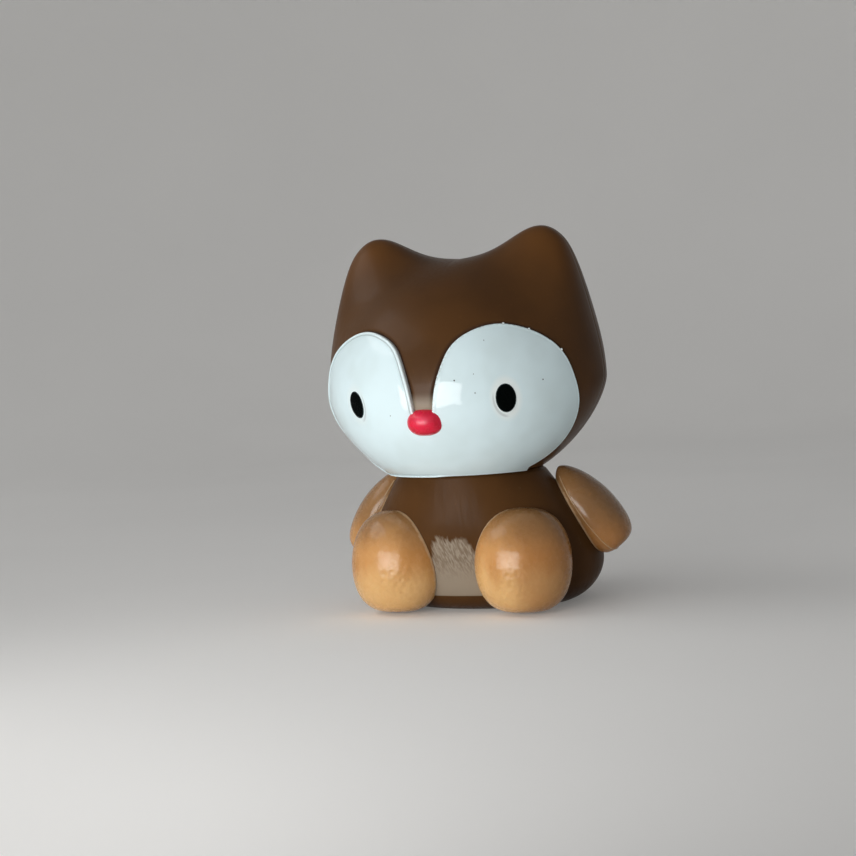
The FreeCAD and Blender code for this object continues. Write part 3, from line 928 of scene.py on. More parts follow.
def brown_paint(name, streaks, gloss):
    """Glossy chestnut paint, darker where thick and brushed in fine strokes, with grey streaks that are a
    painted reflection where the pieces mark them.
    """
    inks = bpy.context.scene.fox_paints
    material, tree, shader = new_paint(name)
    place = object_place(tree)
    patches = grain(tree, place, 8.0 * MM, 2.0)
    base = tint(tree, ramp(tree, patches, 0.4, 0.7, 0.0, 0.55), inks.brown, inks.brown_dark)
    base = tint(tree, tree.maths("MULTIPLY", reading(tree, "ear"), 0.85), base, inks.ear_brown)
    base = tint(tree, tree.maths("MULTIPLY", reading(tree, "shadow"), 0.95), base, (0.020, 0.010, 0.009))
    strokes = grain(tree, place, 0.42 * MM, 3.0, (1.0, 1.0, 0.09), 0.31)
    freckles = grain(tree, place, 0.35 * MM, 1.0, seed=0.17)
    base = tint(tree, ramp(tree, freckles, 0.66, 0.78, 0.0, 0.25), base, inks.ear_brown)
    # Grey streaks: a painted reflection where the lower belly and the brown over the nose are marked, plus a
    # few random worn streaks between 4 and 20 mm up.
    slanting = tree.add("ShaderNodeMapping", Vector=place, Rotation=(0.0, 0.3, 0.0)).outputs[0]
    threads = grain(tree, slanting, 0.22 * MM, 4.0, (1.0, 1.0, 0.12), 0.47)
    threads = ramp(tree, threads, 0.36, 0.66, 0.42, 0.88)
    climbing = tree.add("ShaderNodeSeparateXYZ", Vector=place).outputs[2]
    upper = ramp(tree, climbing, 4.0 * MM, 8.0 * MM)
    upper = tree.maths("MULTIPLY", upper, ramp(tree, climbing, 20.0 * MM, 16.0 * MM))
    ragged = tree.maths("MULTIPLY_ADD", grain(tree, slanting, 0.7 * MM, 3.0, (1.0, 1.0, 0.3)), 1.6, -0.8)
    worn = tree.maths("MULTIPLY_ADD", ragged, upper, reading(tree, "worn"))
    streaky = tree.maths("MULTIPLY_ADD", tree.maths("SUBTRACT", threads, 0.8), upper, 0.8)
    base = tint(tree, tree.maths("MULTIPLY", ramp(tree, worn, 0.3, 0.7), streaky), base, inks.worn)
    waves = grain(tree, place, 2.2 * MM, 1.0, seed=0.53)
    peel = grain(tree, place, 0.5 * MM, 2.0, seed=0.71)
    layers = ((waves, 0.05 * MM, 0.25), (peel, 0.01 * MM, 0.35), (strokes, 0.02 * MM, 0.6 * streaks))
    set_shader(
        tree,
        shader,
        Base_Color=base,
        Roughness=ramp(tree, strokes, 0.35, 0.7, 0.34, 0.34 + 0.14 * streaks),
        Normal=dents(tree, *layers),
        Coat_Weight=0.04 * gloss,
        Coat_Roughness=0.1,
        Specular_IOR_Level=0.12 * gloss,
    )
    return material


def mask_paint():
    """Glossy cool white paint, slightly wavy, greyer where it is thin, with a painted highlight on the lip
    and painted shade in the groove inside it.
    """
    inks = bpy.context.scene.fox_paints
    material, tree, shader = new_paint("mask_gloss_white")
    place = object_place(tree)
    clouds = grain(tree, place, 6.0 * MM, 2.0, seed=0.23)
    base = tint(tree, ramp(tree, clouds, 0.42, 0.7), inks.mask_white, inks.mask_shade)
    # Painted highlight on the lip and painted shade in the groove inside it.
    rim = reading(tree, "rim")
    base = tint(tree, tree.maths("MULTIPLY", rim, 0.7), base, (0.88, 0.92, 0.90))
    base = tint(tree, tree.maths("MULTIPLY", reading(tree, "groove"), 0.7), base, (0.24, 0.25, 0.25))
    crumbs = ramp(tree, grain(tree, place, 0.3 * MM, 3.0, seed=0.9), 0.46, 0.62, 0.0, 0.75)
    base = tint(tree, tree.maths("MULTIPLY", reading(tree, "edge"), crumbs), base, (0.30, 0.25, 0.21))
    grime = grain(tree, place, 0.6 * MM, 3.0, seed=0.4)
    base = tint(tree, ramp(tree, grime, 0.7, 0.8, 0.0, 0.06), base, (0.42, 0.45, 0.44))
    mask = bpy.context.scene.fox_mask
    for side, lean in ((1, mask.eye_tilt), (-1, mask.right_eye_tilt)):
        centre = face_place(side * mask.eye_spread, mask.eye_height, mask.plate_raise)
        eye = tree.add(
            "ShaderNodeMapping",
            {"vector_type": "TEXTURE"},
            Vector=place,
            Location=tuple(centre),
            Rotation=(0.0, -side * lean, side * mask.eye_turn),
            Scale=(mask.eye_half_width, 1.0, mask.eye_half_height),
        )
        split = tree.add("ShaderNodeSeparateXYZ", Vector=eye.outputs[0]).outputs
        squares = tree.maths("ADD", tree.maths("POWER", split[0], 2.0), tree.maths("POWER", split[2], 2.0))
        reach = tree.maths("SQRT", squares)
        halo = tree.maths("MULTIPLY", ramp(tree, reach, 1.75, 1.15), 0.55 if side > 0 else 0.2)
        base = tint(tree, halo, base, (0.86, 0.88, 0.84))
        inner = tree.maths("MULTIPLY_ADD", split[0], 0.8 * side, tree.maths("MULTIPLY", split[2], 0.6))
        thin = tree.maths("MULTIPLY", ramp(tree, reach, 1.36, 1.25), ramp(tree, reach, 1.08, 1.16))
        below = tree.maths("MULTIPLY", thin, ramp(tree, inner, -0.55, -1.0))
        base = tint(tree, tree.maths("MULTIPLY", below, 0.42), base, (0.34, 0.38, 0.39))
    dull = ramp(tree, grain(tree, place, 1.6 * MM, 2.0), 0.3, 0.7, 0.035, 0.07)
    waves = grain(tree, place, 3.4 * MM, 1.0, seed=0.61)
    peel = grain(tree, place, 0.9 * MM, 1.0, seed=0.83)
    skin = dents(tree, (waves, 0.15 * MM, 0.6), (peel, 0.012 * MM, 0.3))
    set_shader(tree, shader, Base_Color=base, Roughness=dull, Normal=skin, Specular_IOR_Level=0.4)
    return material


def eye_paint():
    """Glossy black with a bluish grey edge where the white shows through."""
    inks = bpy.context.scene.fox_paints
    material, tree, shader = new_paint("eye_gloss_black")
    place = object_place(tree)
    edge = reading(tree, "rim")
    worn = grain(tree, place, 0.25 * MM, 2.0)
    edge = tree.maths("MULTIPLY", edge, ramp(tree, worn, 0.3, 0.6, 0.4, 1.0))
    base = tint(tree, edge, inks.eye_black, (0.03, 0.045, 0.05))
    dull = ramp(tree, worn, 0.3, 0.7, 0.2, 0.32)
    skin = dents(tree, (worn, 0.005 * MM, 0.3))
    set_shader(tree, shader, Base_Color=base, Roughness=dull, Normal=skin, Specular_IOR_Level=0.02)
    return material


def nose_paint():
    """Glossy pink red, with a painted highlight in lighter pink on the crown, and darker where it pooled."""
    inks = bpy.context.scene.fox_paints
    material, tree, shader = new_paint("nose_gloss_red")
    place = object_place(tree)
    clouds = grain(tree, place, 1.3 * MM, 2.0)
    base = tint(tree, ramp(tree, clouds, 0.4, 0.7), inks.nose_red, (0.60, 0.006, 0.03))
    # Painted highlight: lighter pink on the nose's crown.
    base = tint(tree, tree.maths("MULTIPLY", reading(tree, "crown"), 0.6), base, inks.nose_highlight_pink)
    peel = grain(tree, place, 0.45 * MM, 2.0, seed=0.2)
    set_shader(
        tree,
        shader,
        Base_Color=base,
        Roughness=ramp(tree, clouds, 0.3, 0.7, 0.22, 0.34),
        Normal=dents(tree, (clouds, 0.05 * MM, 0.4), (peel, 0.012 * MM, 0.5)),
        Specular_IOR_Level=0.35,
        Subsurface_Weight=0.1,
        Subsurface_Scale=0.4 * MM,
    )
    return material


def limb_paint():
    """Glossy caramel paint with thick and thin patches, crackled gloss and bare edges, painted light towards
    the soles, and painted shade towards the tops, on the fox's left and where the limbs meet the body.
    """
    inks = bpy.context.scene.fox_paints
    material, tree, shader = new_paint("limb_gloss_caramel")
    place = object_place(tree)
    patches = grain(tree, place, 4.2 * MM, 3.0, (1.0, 1.0, 0.6), 0.37)
    base = tint(tree, ramp(tree, patches, 0.4, 0.68), inks.caramel, inks.caramel_dark)
    rising = tree.add("ShaderNodeSeparateXYZ", Vector=place).outputs[2]
    rising = tree.maths("MULTIPLY_ADD", patches, 5.0 * MM, rising)
    # Painted light, lighter towards the soles.
    base = tint(tree, ramp(tree, rising, 10.5 * MM, 6.0 * MM, 0.0, 0.8), base, inks.caramel_painted_light)
    # Painted shade, darker towards the fox's left side.
    across = tree.add("ShaderNodeSeparateXYZ", Vector=place).outputs[0]
    across = tree.maths("MULTIPLY_ADD", patches, 3.0 * MM, across)
    base = tint(tree, ramp(tree, across, 9.5 * MM, 13.0 * MM, 0.0, 0.6), base, inks.caramel_side_painted_shade)
    # Painted shade, darker towards the tops.
    base = tint(tree, ramp(tree, rising, 10.0 * MM, 16.0 * MM, 0.0, 0.85), base, inks.caramel_top_painted_shade)
    mottle = grain(tree, place, 0.9 * MM, 3.0, seed=0.77)
    base = tint(tree, ramp(tree, mottle, 0.58, 0.8, 0.0, 0.3), base, inks.caramel_dark)
    wobble = tree.maths("MULTIPLY_ADD", grain(tree, place, 0.8 * MM, 3.0), 0.5, -0.25)
    seat = tree.maths("ADD", reading(tree, "seat"), wobble)
    bare = tree.maths("MULTIPLY", ramp(tree, seat, 0.55, 0.28), 0.75)
    base = tint(tree, bare, base, inks.caramel_pale)
    # Painted shade where the limbs meet the body.
    base = tint(tree, ramp(tree, reading(tree, "seat"), 0.14, 0.0), base, (0.05, 0.022, 0.010))
    crackle = tree.add("ShaderNodeTexVoronoi", {"feature": "SMOOTH_F1"}, Vector=place, Scale=1500.0)
    crackle = crackle.outputs[0]
    waves = grain(tree, place, 2.6 * MM, 1.0, seed=0.11)
    broken = tree.maths("MULTIPLY", crackle, reading(tree, "crackled"))
    layers = ((waves, 0.07 * MM, 0.35), (crackle, 0.04 * MM, 0.4))
    layers += ((broken, 0.22 * MM, 0.9), (mottle, 0.05 * MM, 0.6))
    set_shader(
        tree,
        shader,
        Base_Color=base,
        Roughness=ramp(tree, mottle, 0.3, 0.7, 0.2, 0.34),
        Normal=dents(tree, *layers),
        Coat_Weight=0.3,
        Coat_Roughness=0.09,
        Specular_IOR_Level=0.22,
        Subsurface_Weight=0.08,
        Subsurface_Radius=(1.0, 0.5, 0.25),
        Subsurface_Scale=0.8 * MM,
    )
    return material


def bare_plastic(name, shade, dull):
    """Unpainted moulded plastic with a fine texture."""
    material, tree, shader = new_paint(name)
    place = object_place(tree)
    clouds = grain(tree, place, 3.0 * MM, 3.0)
    darker = tuple(0.75 * channel for channel in shade)
    base = tint(tree, ramp(tree, clouds, 0.35, 0.7), shade, darker)
    roughness = ramp(tree, clouds, 0.3, 0.7, dull, dull + 0.12)
    skin = dents(tree, (grain(tree, place, 0.3 * MM, 2.0), 0.015 * MM, 0.5))
    set_shader(tree, shader, Base_Color=base, Roughness=roughness, Normal=skin)
    return material


def dark_speck():
    """Dull dark dust caught in the paint."""
    return bare_plastic("dust_speck", (0.05, 0.045, 0.04), 0.6)


def floor_paint():
    """Plain pale floor, a little uneven."""
    inks = bpy.context.scene.fox_paints
    material, tree, shader = new_paint("studio_floor_pale")
    place = object_place(tree)
    clouds = grain(tree, place, 0.09, 2.0)
    paler = tuple(min(1.0, 1.03 * channel) for channel in inks.floor)
    base = tint(tree, ramp(tree, clouds, 0.3, 0.7), inks.floor, paler)
    # The glow is only seen, directly or mirrored, and lights nothing
    glow = bpy.context.scene.fox_stage.floor_glow
    rays = tree.add("ShaderNodeLightPath").outputs
    seen = tree.maths("MAXIMUM", rays["Is Camera Ray"], rays["Is Glossy Ray"])
    seen = tree.maths("MAXIMUM", seen, rays["Is Transmission Ray"])
    set_shader(tree, shader, Base_Color=base, Roughness=0.85, Specular_IOR_Level=0.15)
    seen_glow = tree.maths("MULTIPLY", seen, glow)
    set_shader(tree, shader, Emission_Color=(*inks.floor, 1.0), Emission_Strength=seen_glow)
    return material


def shared_paint(name, maker, *values):
    """A paint that several pieces share, made once."""
    return bpy.data.materials.get(name) or maker(*values)


# Steps, one for each piece or group of like pieces


class FoxStep:
    """What every step has in common."""

    bl_options = {"REGISTER", "UNDO"}

    def execute(self, context):
        """Make the pieces."""
        self.make(context.scene)
        return {"FINISHED"}


class FOX_OT_head(FoxStep, bpy.types.Operator):
    """Make the two halves of the head with its ears, and the seam between them."""

    bl_idname = "fox.head"
    bl_label = "Head and Ears"

    def make(self, scene):
        """Build both halves on fine nets."""
        head = scene.fox_head
        mask = scene.fox_mask
        paint = shared_paint("head_gloss_brown", brown_paint, "head_gloss_brown", 0.5, 1.0)
        floor = NECK_PLACE[2] + head.neck_gap
        loop = mask_outline(0.25 * MM)
        for name, facing, turns, climbs in (("front", -1, 301, 181), ("back", 1, 181, 121)):
            turn = np.linspace(-math.pi / 2, math.pi / 2, turns)
            climb = np.linspace(-math.pi / 2, math.pi / 2, climbs)
            turn_net, climb_net = np.meshgrid(turn, climb, indexing="ij")
            points = head_points(turn_net, climb_net, facing).reshape(-1, 3)
            off_seam = np.abs(points[:, 1] - NECK_PLACE[1])
            dip = head.seam_depth * np.exp(-((off_seam / head.seam_width) ** 2))
            gap = np.full(len(points), FAR_GAP)
            if facing < 0:
                places, ahead = on_plane(points)
                gap = np.where(ahead, loop_distance(places, loop) / PLANE_STRETCH / MM, FAR_GAP)
                beside = np.clip(1 - gap * MM / mask.groove_width, 0, 1)
                dip = dip + mask.groove_depth * eased(beside)
            middle = np.array([0.0, NECK_PLACE[1], head.widest_height])
            away = points - middle
            away /= np.maximum(np.linalg.norm(away, axis=1), 1e-9)[:, None]
            points = points - away * dip[:, None]
            rows = numbered_rows(turns, climbs)
            faces = strip(rows, False)
            for row, following in zip(rows, rows[1:]):
                faces.append((row[0], row[-1], following[-1], following[0]))
            piece = mesh_piece("head_" + name, points, faces)
            side, depth, height = points.T
            ear = ear_bump(side, depth - NECK_PLACE[1], 0.0) / head.ear_rise
            ear = np.clip((ear - 0.12) / 0.6, 0, 1)
            climb_share = np.clip((height - head.widest_height - 10 * MM) / (8 * MM), 0, 1)
            ear = ear * climb_share * (1.0 if facing < 0 else 0.7)
            mark(piece, "ear", ear)
            # Grey over the nose: a painted reflection.
            reflected = np.clip((head.reflection_top - height) / head.reflection_reach, 0, 1)
            reflected = reflected * (np.abs(side) < head.reflection_half_width) * (depth < 0)
            mark(piece, "worn", head.reflection_strength * reflected * (height > mask.nose_height))
            reach = np.where(side > 0, 0.6, 0.4)
            mark(piece, "shadow", np.clip(1 - gap / reach, 0, 1))
            face_outwards(piece)
            work = bmesh.new()
            work.from_mesh(piece.data)
            everything = work.verts[:] + work.edges[:] + work.faces[:]
            plane = {"plane_co": (0, 0, floor), "plane_no": (0, 0, -1)}
            cut = bmesh.ops.bisect_plane(work, geom=everything, dist=1e-8, clear_outer=True, **plane)
            edges = [item for item in cut["geom_cut"] if isinstance(item, bmesh.types.BMEdge)]
            bmesh.ops.holes_fill(work, edges=edges)
            bmesh.ops.recalc_face_normals(work, faces=work.faces)
            work.to_mesh(piece.data)
            work.free()
            piece.data.shade_smooth()
            sharpen(piece, 50.0)
            dress(piece, "head", "head_" + name + "_shell", paint)


class FOX_OT_face_plate(FoxStep, bpy.types.Operator):
    """Make the raised white face plate with its rounded lip, and the paint nubs on the lip."""

    bl_idname = "fox.face_plate"
    bl_label = "Face Plate"

    def make(self, scene):
        """Build the plate ring by ring from its edge, then the nubs."""
        mask = scene.fox_mask
        paint = shared_paint("mask_gloss_white", mask_paint)
        loop = mask_outline(0.16 * MM)
        lip = mask.lip_width
        steps = (0.0, 0.04, 0.12, 0.26, 0.45, 0.65, 0.82, 0.98, 1.15, 1.4, 1.8, 2.3)
        insets = [step * lip * PLANE_STRETCH for step in steps]
        top = mask.plate_raise + mask.lip_raise
        groove = mask.plate_raise - 0.09 * MM
        lipped = [0.35 * top, 0.65 * top, 0.86 * top, 0.98 * top, top, 0.96 * top, 0.84 * top]
        lipped += [groove + 0.02 * MM, groove, groove + 0.03 * MM]
        lipped += [mask.plate_raise - 0.02 * MM, mask.plate_raise]
        plain = [mask.plate_raise * part for part in (0.45, 0.7, 0.87, 0.96, 0.99, 1.0)]
        plain += [mask.plate_raise] * (len(steps) - len(plain))

        def lip_share(places):
            """One where the paint has run into a lip, on the fox's right half, and less on its left half."""
            share = np.clip((places[:, 0] + 1.5 * MM) / (3.0 * MM), 0, 1)
            return 1 - 0.85 * eased(share)

        def growth_at(inside, places):
            """Height of the plate's skin over the head."""
            lip = lip_share(places)
            return lip * np.interp(inside, insets, lipped) + (1 - lip) * np.interp(inside, insets, plain)

        spacing = 0.42 * MM * PLANE_STRETCH
        piece = filled_plate("face_plate", loop, insets, growth_at, spacing, -mask.plate_sink)
        places, _ = on_plane(points_of(piece))
        inside = -loop_distance(places, loop) / PLANE_STRETCH
        # Where the lip gets its painted highlight and the groove inside it its painted shade.
        mark(piece, "rim", np.clip(1 - inside / lip / 0.8, 0, 1) * lip_share(places))
        mark(piece, "groove", np.exp(-(((inside / lip) - 1.12) / 0.2) ** 2) * lip_share(places) ** 2)
        mark(piece, "edge", np.clip(1 - inside / (0.32 * MM), 0, 1) * (1 - lip_share(places)))
        sharpen(piece, 60.0)
        dress(piece, "head", "face_mask", paint)
        upper = loop[(loop[:, 1] > mask.bottom + 0.7 * (mask.top - mask.bottom)) & (loop[:, 0] > 0)]
        nearest = [np.argmin(np.abs(upper[:, 0] - nub_share * mask.reach)) for nub_share in NUB_SHARES]
        lip_points = on_face(upper[nearest], np.full(len(nearest), mask.plate_raise - 0.5 * mask.nub_size))
        nubs = grown_blobs("lip_nubs", lip_points, mask.nub_size, NUB_FLATNESS, NUB_SEED, paint)
        # The nubs take the lip's full painted highlight.
        mark(nubs, "rim", np.ones(len(nubs.data.vertices)))
        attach(nubs, "head")


class FOX_OT_eyes_and_nose(FoxStep, bpy.types.Operator):
    """Make the two black eyes and the red nose."""

    bl_idname = "fox.eyes_and_nose"
    bl_label = "Eyes and Nose"

    def make(self, scene):
        """Build the eyes on the plate and the nose as a full bead."""
        mask = scene.fox_mask
        paint = shared_paint("eye_gloss_black", eye_paint)
        for name, side, lean in (("left_eye", 1, mask.eye_tilt), ("right_eye", -1, mask.right_eye_tilt)):
            centre = face_place(side * mask.eye_spread, mask.eye_height, mask.plate_raise)
            along = np.array([side * math.sin(mask.eye_turn), -math.cos(mask.eye_turn), 0.0])
            tilt = Matrix.Rotation(side * lean, 3, Vector(along))
            tall = np.array(tilt @ Vector((0, 0, 1)))
            wide = np.array(tilt @ Vector((0, 0, 1)).cross(Vector(along)))
            around = np.linspace(0, 2 * math.pi, 96, endpoint=False)
            ring = centre + np.outer(np.cos(around), tall) * mask.eye_half_height
            ring = ring + np.outer(np.sin(around), wide) * mask.eye_half_width
            loop, _ = on_plane(ring)
            insets = [0.0, 0.03 * MM, 0.1 * MM, 0.22 * MM, 0.4 * MM, 0.6 * MM]
            rise = mask.eye_raise
            profile = [mask.plate_raise - 0.02 * MM]
            profile += [mask.plate_raise + rise * part for part in (0.5, 0.8, 0.95, 1.0, 1.05)]

            def growth_at(inside, places):
                """Height of the eye's skin over the head."""
                return np.interp(inside, insets, profile)

            back = mask.plate_raise - 0.35 * MM
            piece = filled_plate(name + "_gloss", loop, insets, growth_at, 0.28 * MM, back)
            places, _ = on_plane(points_of(piece))
            inside = -loop_distance(places, loop) / PLANE_STRETCH
            mark(piece, "rim", np.clip(1 - inside / (0.16 * MM), 0, 1))
            sharpen(piece, 60.0)
            dress(piece, "head", name, paint)
        place = face_place(0.0, mask.nose_height, 0.0) + np.array([0.0, mask.nose_sink, 0.0])
        turns, climbs = NOSE_NET
        turn = np.linspace(0, 2 * math.pi, turns)
        climb = np.linspace(-math.pi / 2, math.pi / 2, climbs)
        turn_net, climb_net = np.meshgrid(turn, climb, indexing="ij")
        around = np.cos(climb_net) ** NOSE_ROUNDNESS
        wide = signed_power(np.cos(turn_net), NOSE_ROUNDNESS) * around
        tall = signed_power(np.sin(turn_net), NOSE_ROUNDNESS) * around
        deep = signed_power(np.sin(climb_net), NOSE_DEPTH_ROUNDNESS)
        sizes = np.array([mask.nose_half_width, mask.nose_half_depth, mask.nose_half_height])
        points = (np.stack([wide, deep, tall], -1) * sizes).reshape(-1, 3)
        wave = NOSE_WAVE * np.sin(points[:, 0] / MM * 1.9 + 0.6) * np.cos(points[:, 2] / MM * 2.3)
        points = points * (1 + wave[:, None]) + place
        nose = mesh_piece("nose_bead", points, strip(numbered_rows(turns, climbs), False))
        face_outwards(nose, 1e-6)
        spots = points_of(nose) - place
        # Where the nose gets its painted highlight: its crown, a little up and to the fox's left.
        crown = np.exp(-(((spots[:, 0] / MM - 0.2) / 1.1) ** 2) - ((spots[:, 2] / MM - 0.35) / 0.55) ** 2)
        mark(nose, "crown", crown * (spots[:, 1] < 0))
        dress(nose, "head", "nose", shared_paint("nose_gloss_red", nose_paint))


class FOX_OT_body(FoxStep, bpy.types.Operator):
    """Make the bell-shaped body and paint its base plate."""

    bl_idname = "fox.body"
    bl_label = "Body"

    def make(self, scene):
        """Build the body as stacked ovals, closed at the neck and round the base plate."""
        body = scene.fox_body
        profile = body_profile(150)
        rows = [tuple(level) for level in profile]
        height, half_width, half_depth, middle = rows[-1]
        top = []
        for step in range(1, 9):
            bend = math.pi / 2 * step / 8
            inset = body.neck_round * (1 - math.cos(bend))
            fall = body.neck_round * (1 - math.sin(bend))
            top.append((height - fall, half_width - inset, half_depth - inset, middle))
        rows = [row for row in rows if row[0] < height - body.neck_round] + top
        for inset in (1.0, 4.0, 8.6):
            rows.append((height, half_width - inset * MM, half_depth - inset * MM, middle))
        base = rows[0]
        margin = body.plate_margin
        deep = body.plate_thickness - 0.2 * MM
        recess = [(0.0, base[1] - margin + 0.05 * MM, base[2] - margin + 0.05 * MM, base[3])]
        recess.append((0.05 * MM, base[1] - margin, base[2] - margin, base[3]))
        recess.append((deep, base[1] - margin, base[2] - margin, base[3]))
        recess.append((deep, base[1] - base[2] + 0.1 * MM, 0.1 * MM, base[3]))
        rows = recess[::-1] + rows
        points, numbers = stacked_ovals(rows, BODY_SIDES)
        faces = strip(numbers, True) + [tuple(reversed(numbers[0])), tuple(numbers[-1])]
        piece = mesh_piece("body_bell", points, faces)
        face_outwards(piece)
        side, depth, height = points_of(piece).T
        # The grey patch on the lower belly: a painted reflection, streaked like brushed varnish.
        inside = body.patch_half_width - body.patch_narrowing * height - np.abs(side - body.patch_middle)
        worn = np.clip(inside / body.patch_side_fade, 0, 1) * (depth < 0)
        worn *= np.clip((body.patch_top - height) / body.patch_top_fade, 0, 1)
        worn *= np.clip((height - body.patch_bottom) / body.patch_bottom_fade, 0, 1)
        mark(piece, "worn", worn)
        sharpen(piece, 45.0)
        brown = shared_paint("body_gloss_brown", brown_paint, "body_gloss_brown", 1.0, 0.45)
        dress(piece, "torso", "body_shell", brown)
        plain = shared_paint("base_matt_brown", bare_plastic, "base_matt_brown", (0.085, 0.037, 0.015), 0.5)
        shade = tuple(scene.fox_paints.plug_plastic)
        bare = shared_paint("plug_bare_plastic", bare_plastic, "plug_bare_plastic", shade, 0.4)
        for node, paint in (("base_plate", plain), ("neck_plug", bare)):
            mesh = frame["nodes"][node].data
            mesh.materials.clear()
            mesh.materials.append(paint)


class FOX_OT_limbs(FoxStep, bpy.types.Operator):
    """Make the feet, the arms with their moulding lines, and the tail."""

    bl_idname = "fox.limbs"
    bl_label = "Feet, Arms and Tail"

    def make(self, scene):
        """Grow every limb from one tree, then the moulding lines from another."""
        limb = scene.fox_limbs
        tree = lobe_tree()
        paint = shared_paint("limb_gloss_caramel", limb_paint)
        brown = shared_paint("tail_gloss_brown", brown_paint, "tail_gloss_brown", 0.7, 0.6)
        lines = bead_tree()
        empty = bpy.data.meshes.new("lobe_start")
        way = Vector((math.sin(limb.foot_splay), -math.cos(limb.foot_splay), 0))
        lean = limb.foot_half_height * math.sin(limb.foot_lean)
        place = Vector((limb.foot_spread, -limb.foot_lead, limb.foot_centre_height))
        reach = Vector((0, lean, limb.foot_half_height))
        foot = (place - reach, place + reach, way, limb.foot_half_depth, limb.foot_half_width)
        foot += (1.0, limb.foot_sole_roundness, limb.foot_top_roundness, limb.foot_taper)
        shoulder = Vector((limb.shoulder_spread, -limb.shoulder_lead, limb.shoulder_height))
        hand = Vector((limb.hand_spread, -limb.hand_lead, limb.hand_height))
        arm = (shoulder, hand, Vector((1, 0, 0)), limb.arm_half_thickness, limb.arm_half_breadth)
        arm += (limb.arm_swell, limb.arm_shoulder_roundness, limb.arm_hand_roundness, limb.arm_taper)
        lean = limb.tail_half_height * math.sin(limb.tail_lean)
        place = Vector((0, limb.tail_setback, limb.tail_centre_height))
        reach = Vector((0, lean, limb.tail_half_height))
        tail = (place - reach, place + reach, Vector((0, 1, 0)), limb.tail_half_depth, limb.tail_half_width)
        tail += (limb.tail_swell, limb.tail_root_roundness, limb.tail_tip_roundness, limb.tail_taper)
        plans = []
        for side, word in ((1, "left"), (-1, "right")):
            plans.append((word + "_foot", foot, side, paint, "limb_paint"))
            plans.append((word + "_arm", arm, side, paint, "limb_paint"))
        plans.append(("tail", tail, 1, brown, "tail_paint"))
        labels = ("Start", "End", "Outward", "Half Thickness", "Half Breadth", "Swell")
        labels += ("Start Roundness", "End Roundness", "Taper")
        for node, values, side, finish, slot in plans:
            given = {}
            for label, value in zip(labels, values):
                if isinstance(value, Vector):
                    value = [value.x * side, value.y, value.z]
                given[label] = value
            given["Material"] = finish
            piece = grown_piece(node + "_lobe", empty.copy(), tree, given)
            face_outwards(piece, 1e-6)
            points = points_of(piece)
            mark(piece, "seat", body_distance(points) / MM)
            across, rise = (number * MM for number in CRACKLE_PLACES.get(node, (0.0, 0.0)))
            near = ((points[:, 0] - across) ** 2 + (points[:, 2] - rise) ** 2) / limb.crackle_radius**2
            in_front = (points[:, 1] < -limb.foot_lead) * (node in CRACKLE_PLACES)
            mark(piece, "crackled", np.exp(-near) * in_front)
            mark(piece, "shadow", np.clip(1 - body_distance(points) / (0.3 * MM), 0, 1) * (node == "tail"))
            dress(piece, "torso", node, finish)
            if node.endswith("arm"):
                self.moulding_line(node, values, side, lines, paint, limb)

    def moulding_line(self, node, values, side, lines, paint, limb):
        """A thin flash line round the rim of an arm, where its two mould halves met."""
        start, end, outward, _, half_breadth, swell, start_roundness, end_roundness, taper = values
        spine = end - start
        broad = spine.normalized().cross(outward).normalized()
        points = []
        turns = np.linspace(-1.2, 1.5, 70)
        for side_way, ordered in ((1, turns), (-1, turns[::-1])):
            for turn in ordered:
                climb = ((1 + math.sin(turn)) / 2) ** (1 / swell)
                full = math.cos(turn) ** (start_roundness if turn < 0 else end_roundness)
                full *= 1 + taper * (2 * climb - 1)
                points.append(start + spine * climb + broad * (side_way * half_breadth * full))
        points = [Vector((point.x * side, point.y, point.z)) for point in points]
        source = bpy.data.meshes.new(node + "_rim")
        edges = [(step, step + 1) for step in range(len(points) - 1)]
        source.from_pydata([tuple(point) for point in points], edges, [])
        values = {"Radius": limb.flash_radius, "Seed": float(side), "Material": paint}
        line = grown_piece(node + "_moulding_line", source, lines, values)
        face_outwards(line, 1e-7)
        mark(line, "seat", np.full(len(line.data.vertices), 0.3))
        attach(line, "torso")


class FOX_OT_specks(FoxStep, bpy.types.Operator):
    """Set the few dust specks that are caught in the paint of the face."""

    bl_idname = "fox.specks"
    bl_label = "Dust Specks"

    def make(self, scene):
        """Set specks of chance size at their places on the face."""
        mask = scene.fox_mask
        places = np.array(SPECK_PLACES) * MM
        points = on_face(places, np.full(len(places), mask.plate_raise - 0.02 * MM))
        dust = dark_speck()
        specks = grown_blobs("dust_specks", points, mask.speck_size, SPECK_FLATNESS, SPECK_SEED, dust)
        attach(specks, "head")


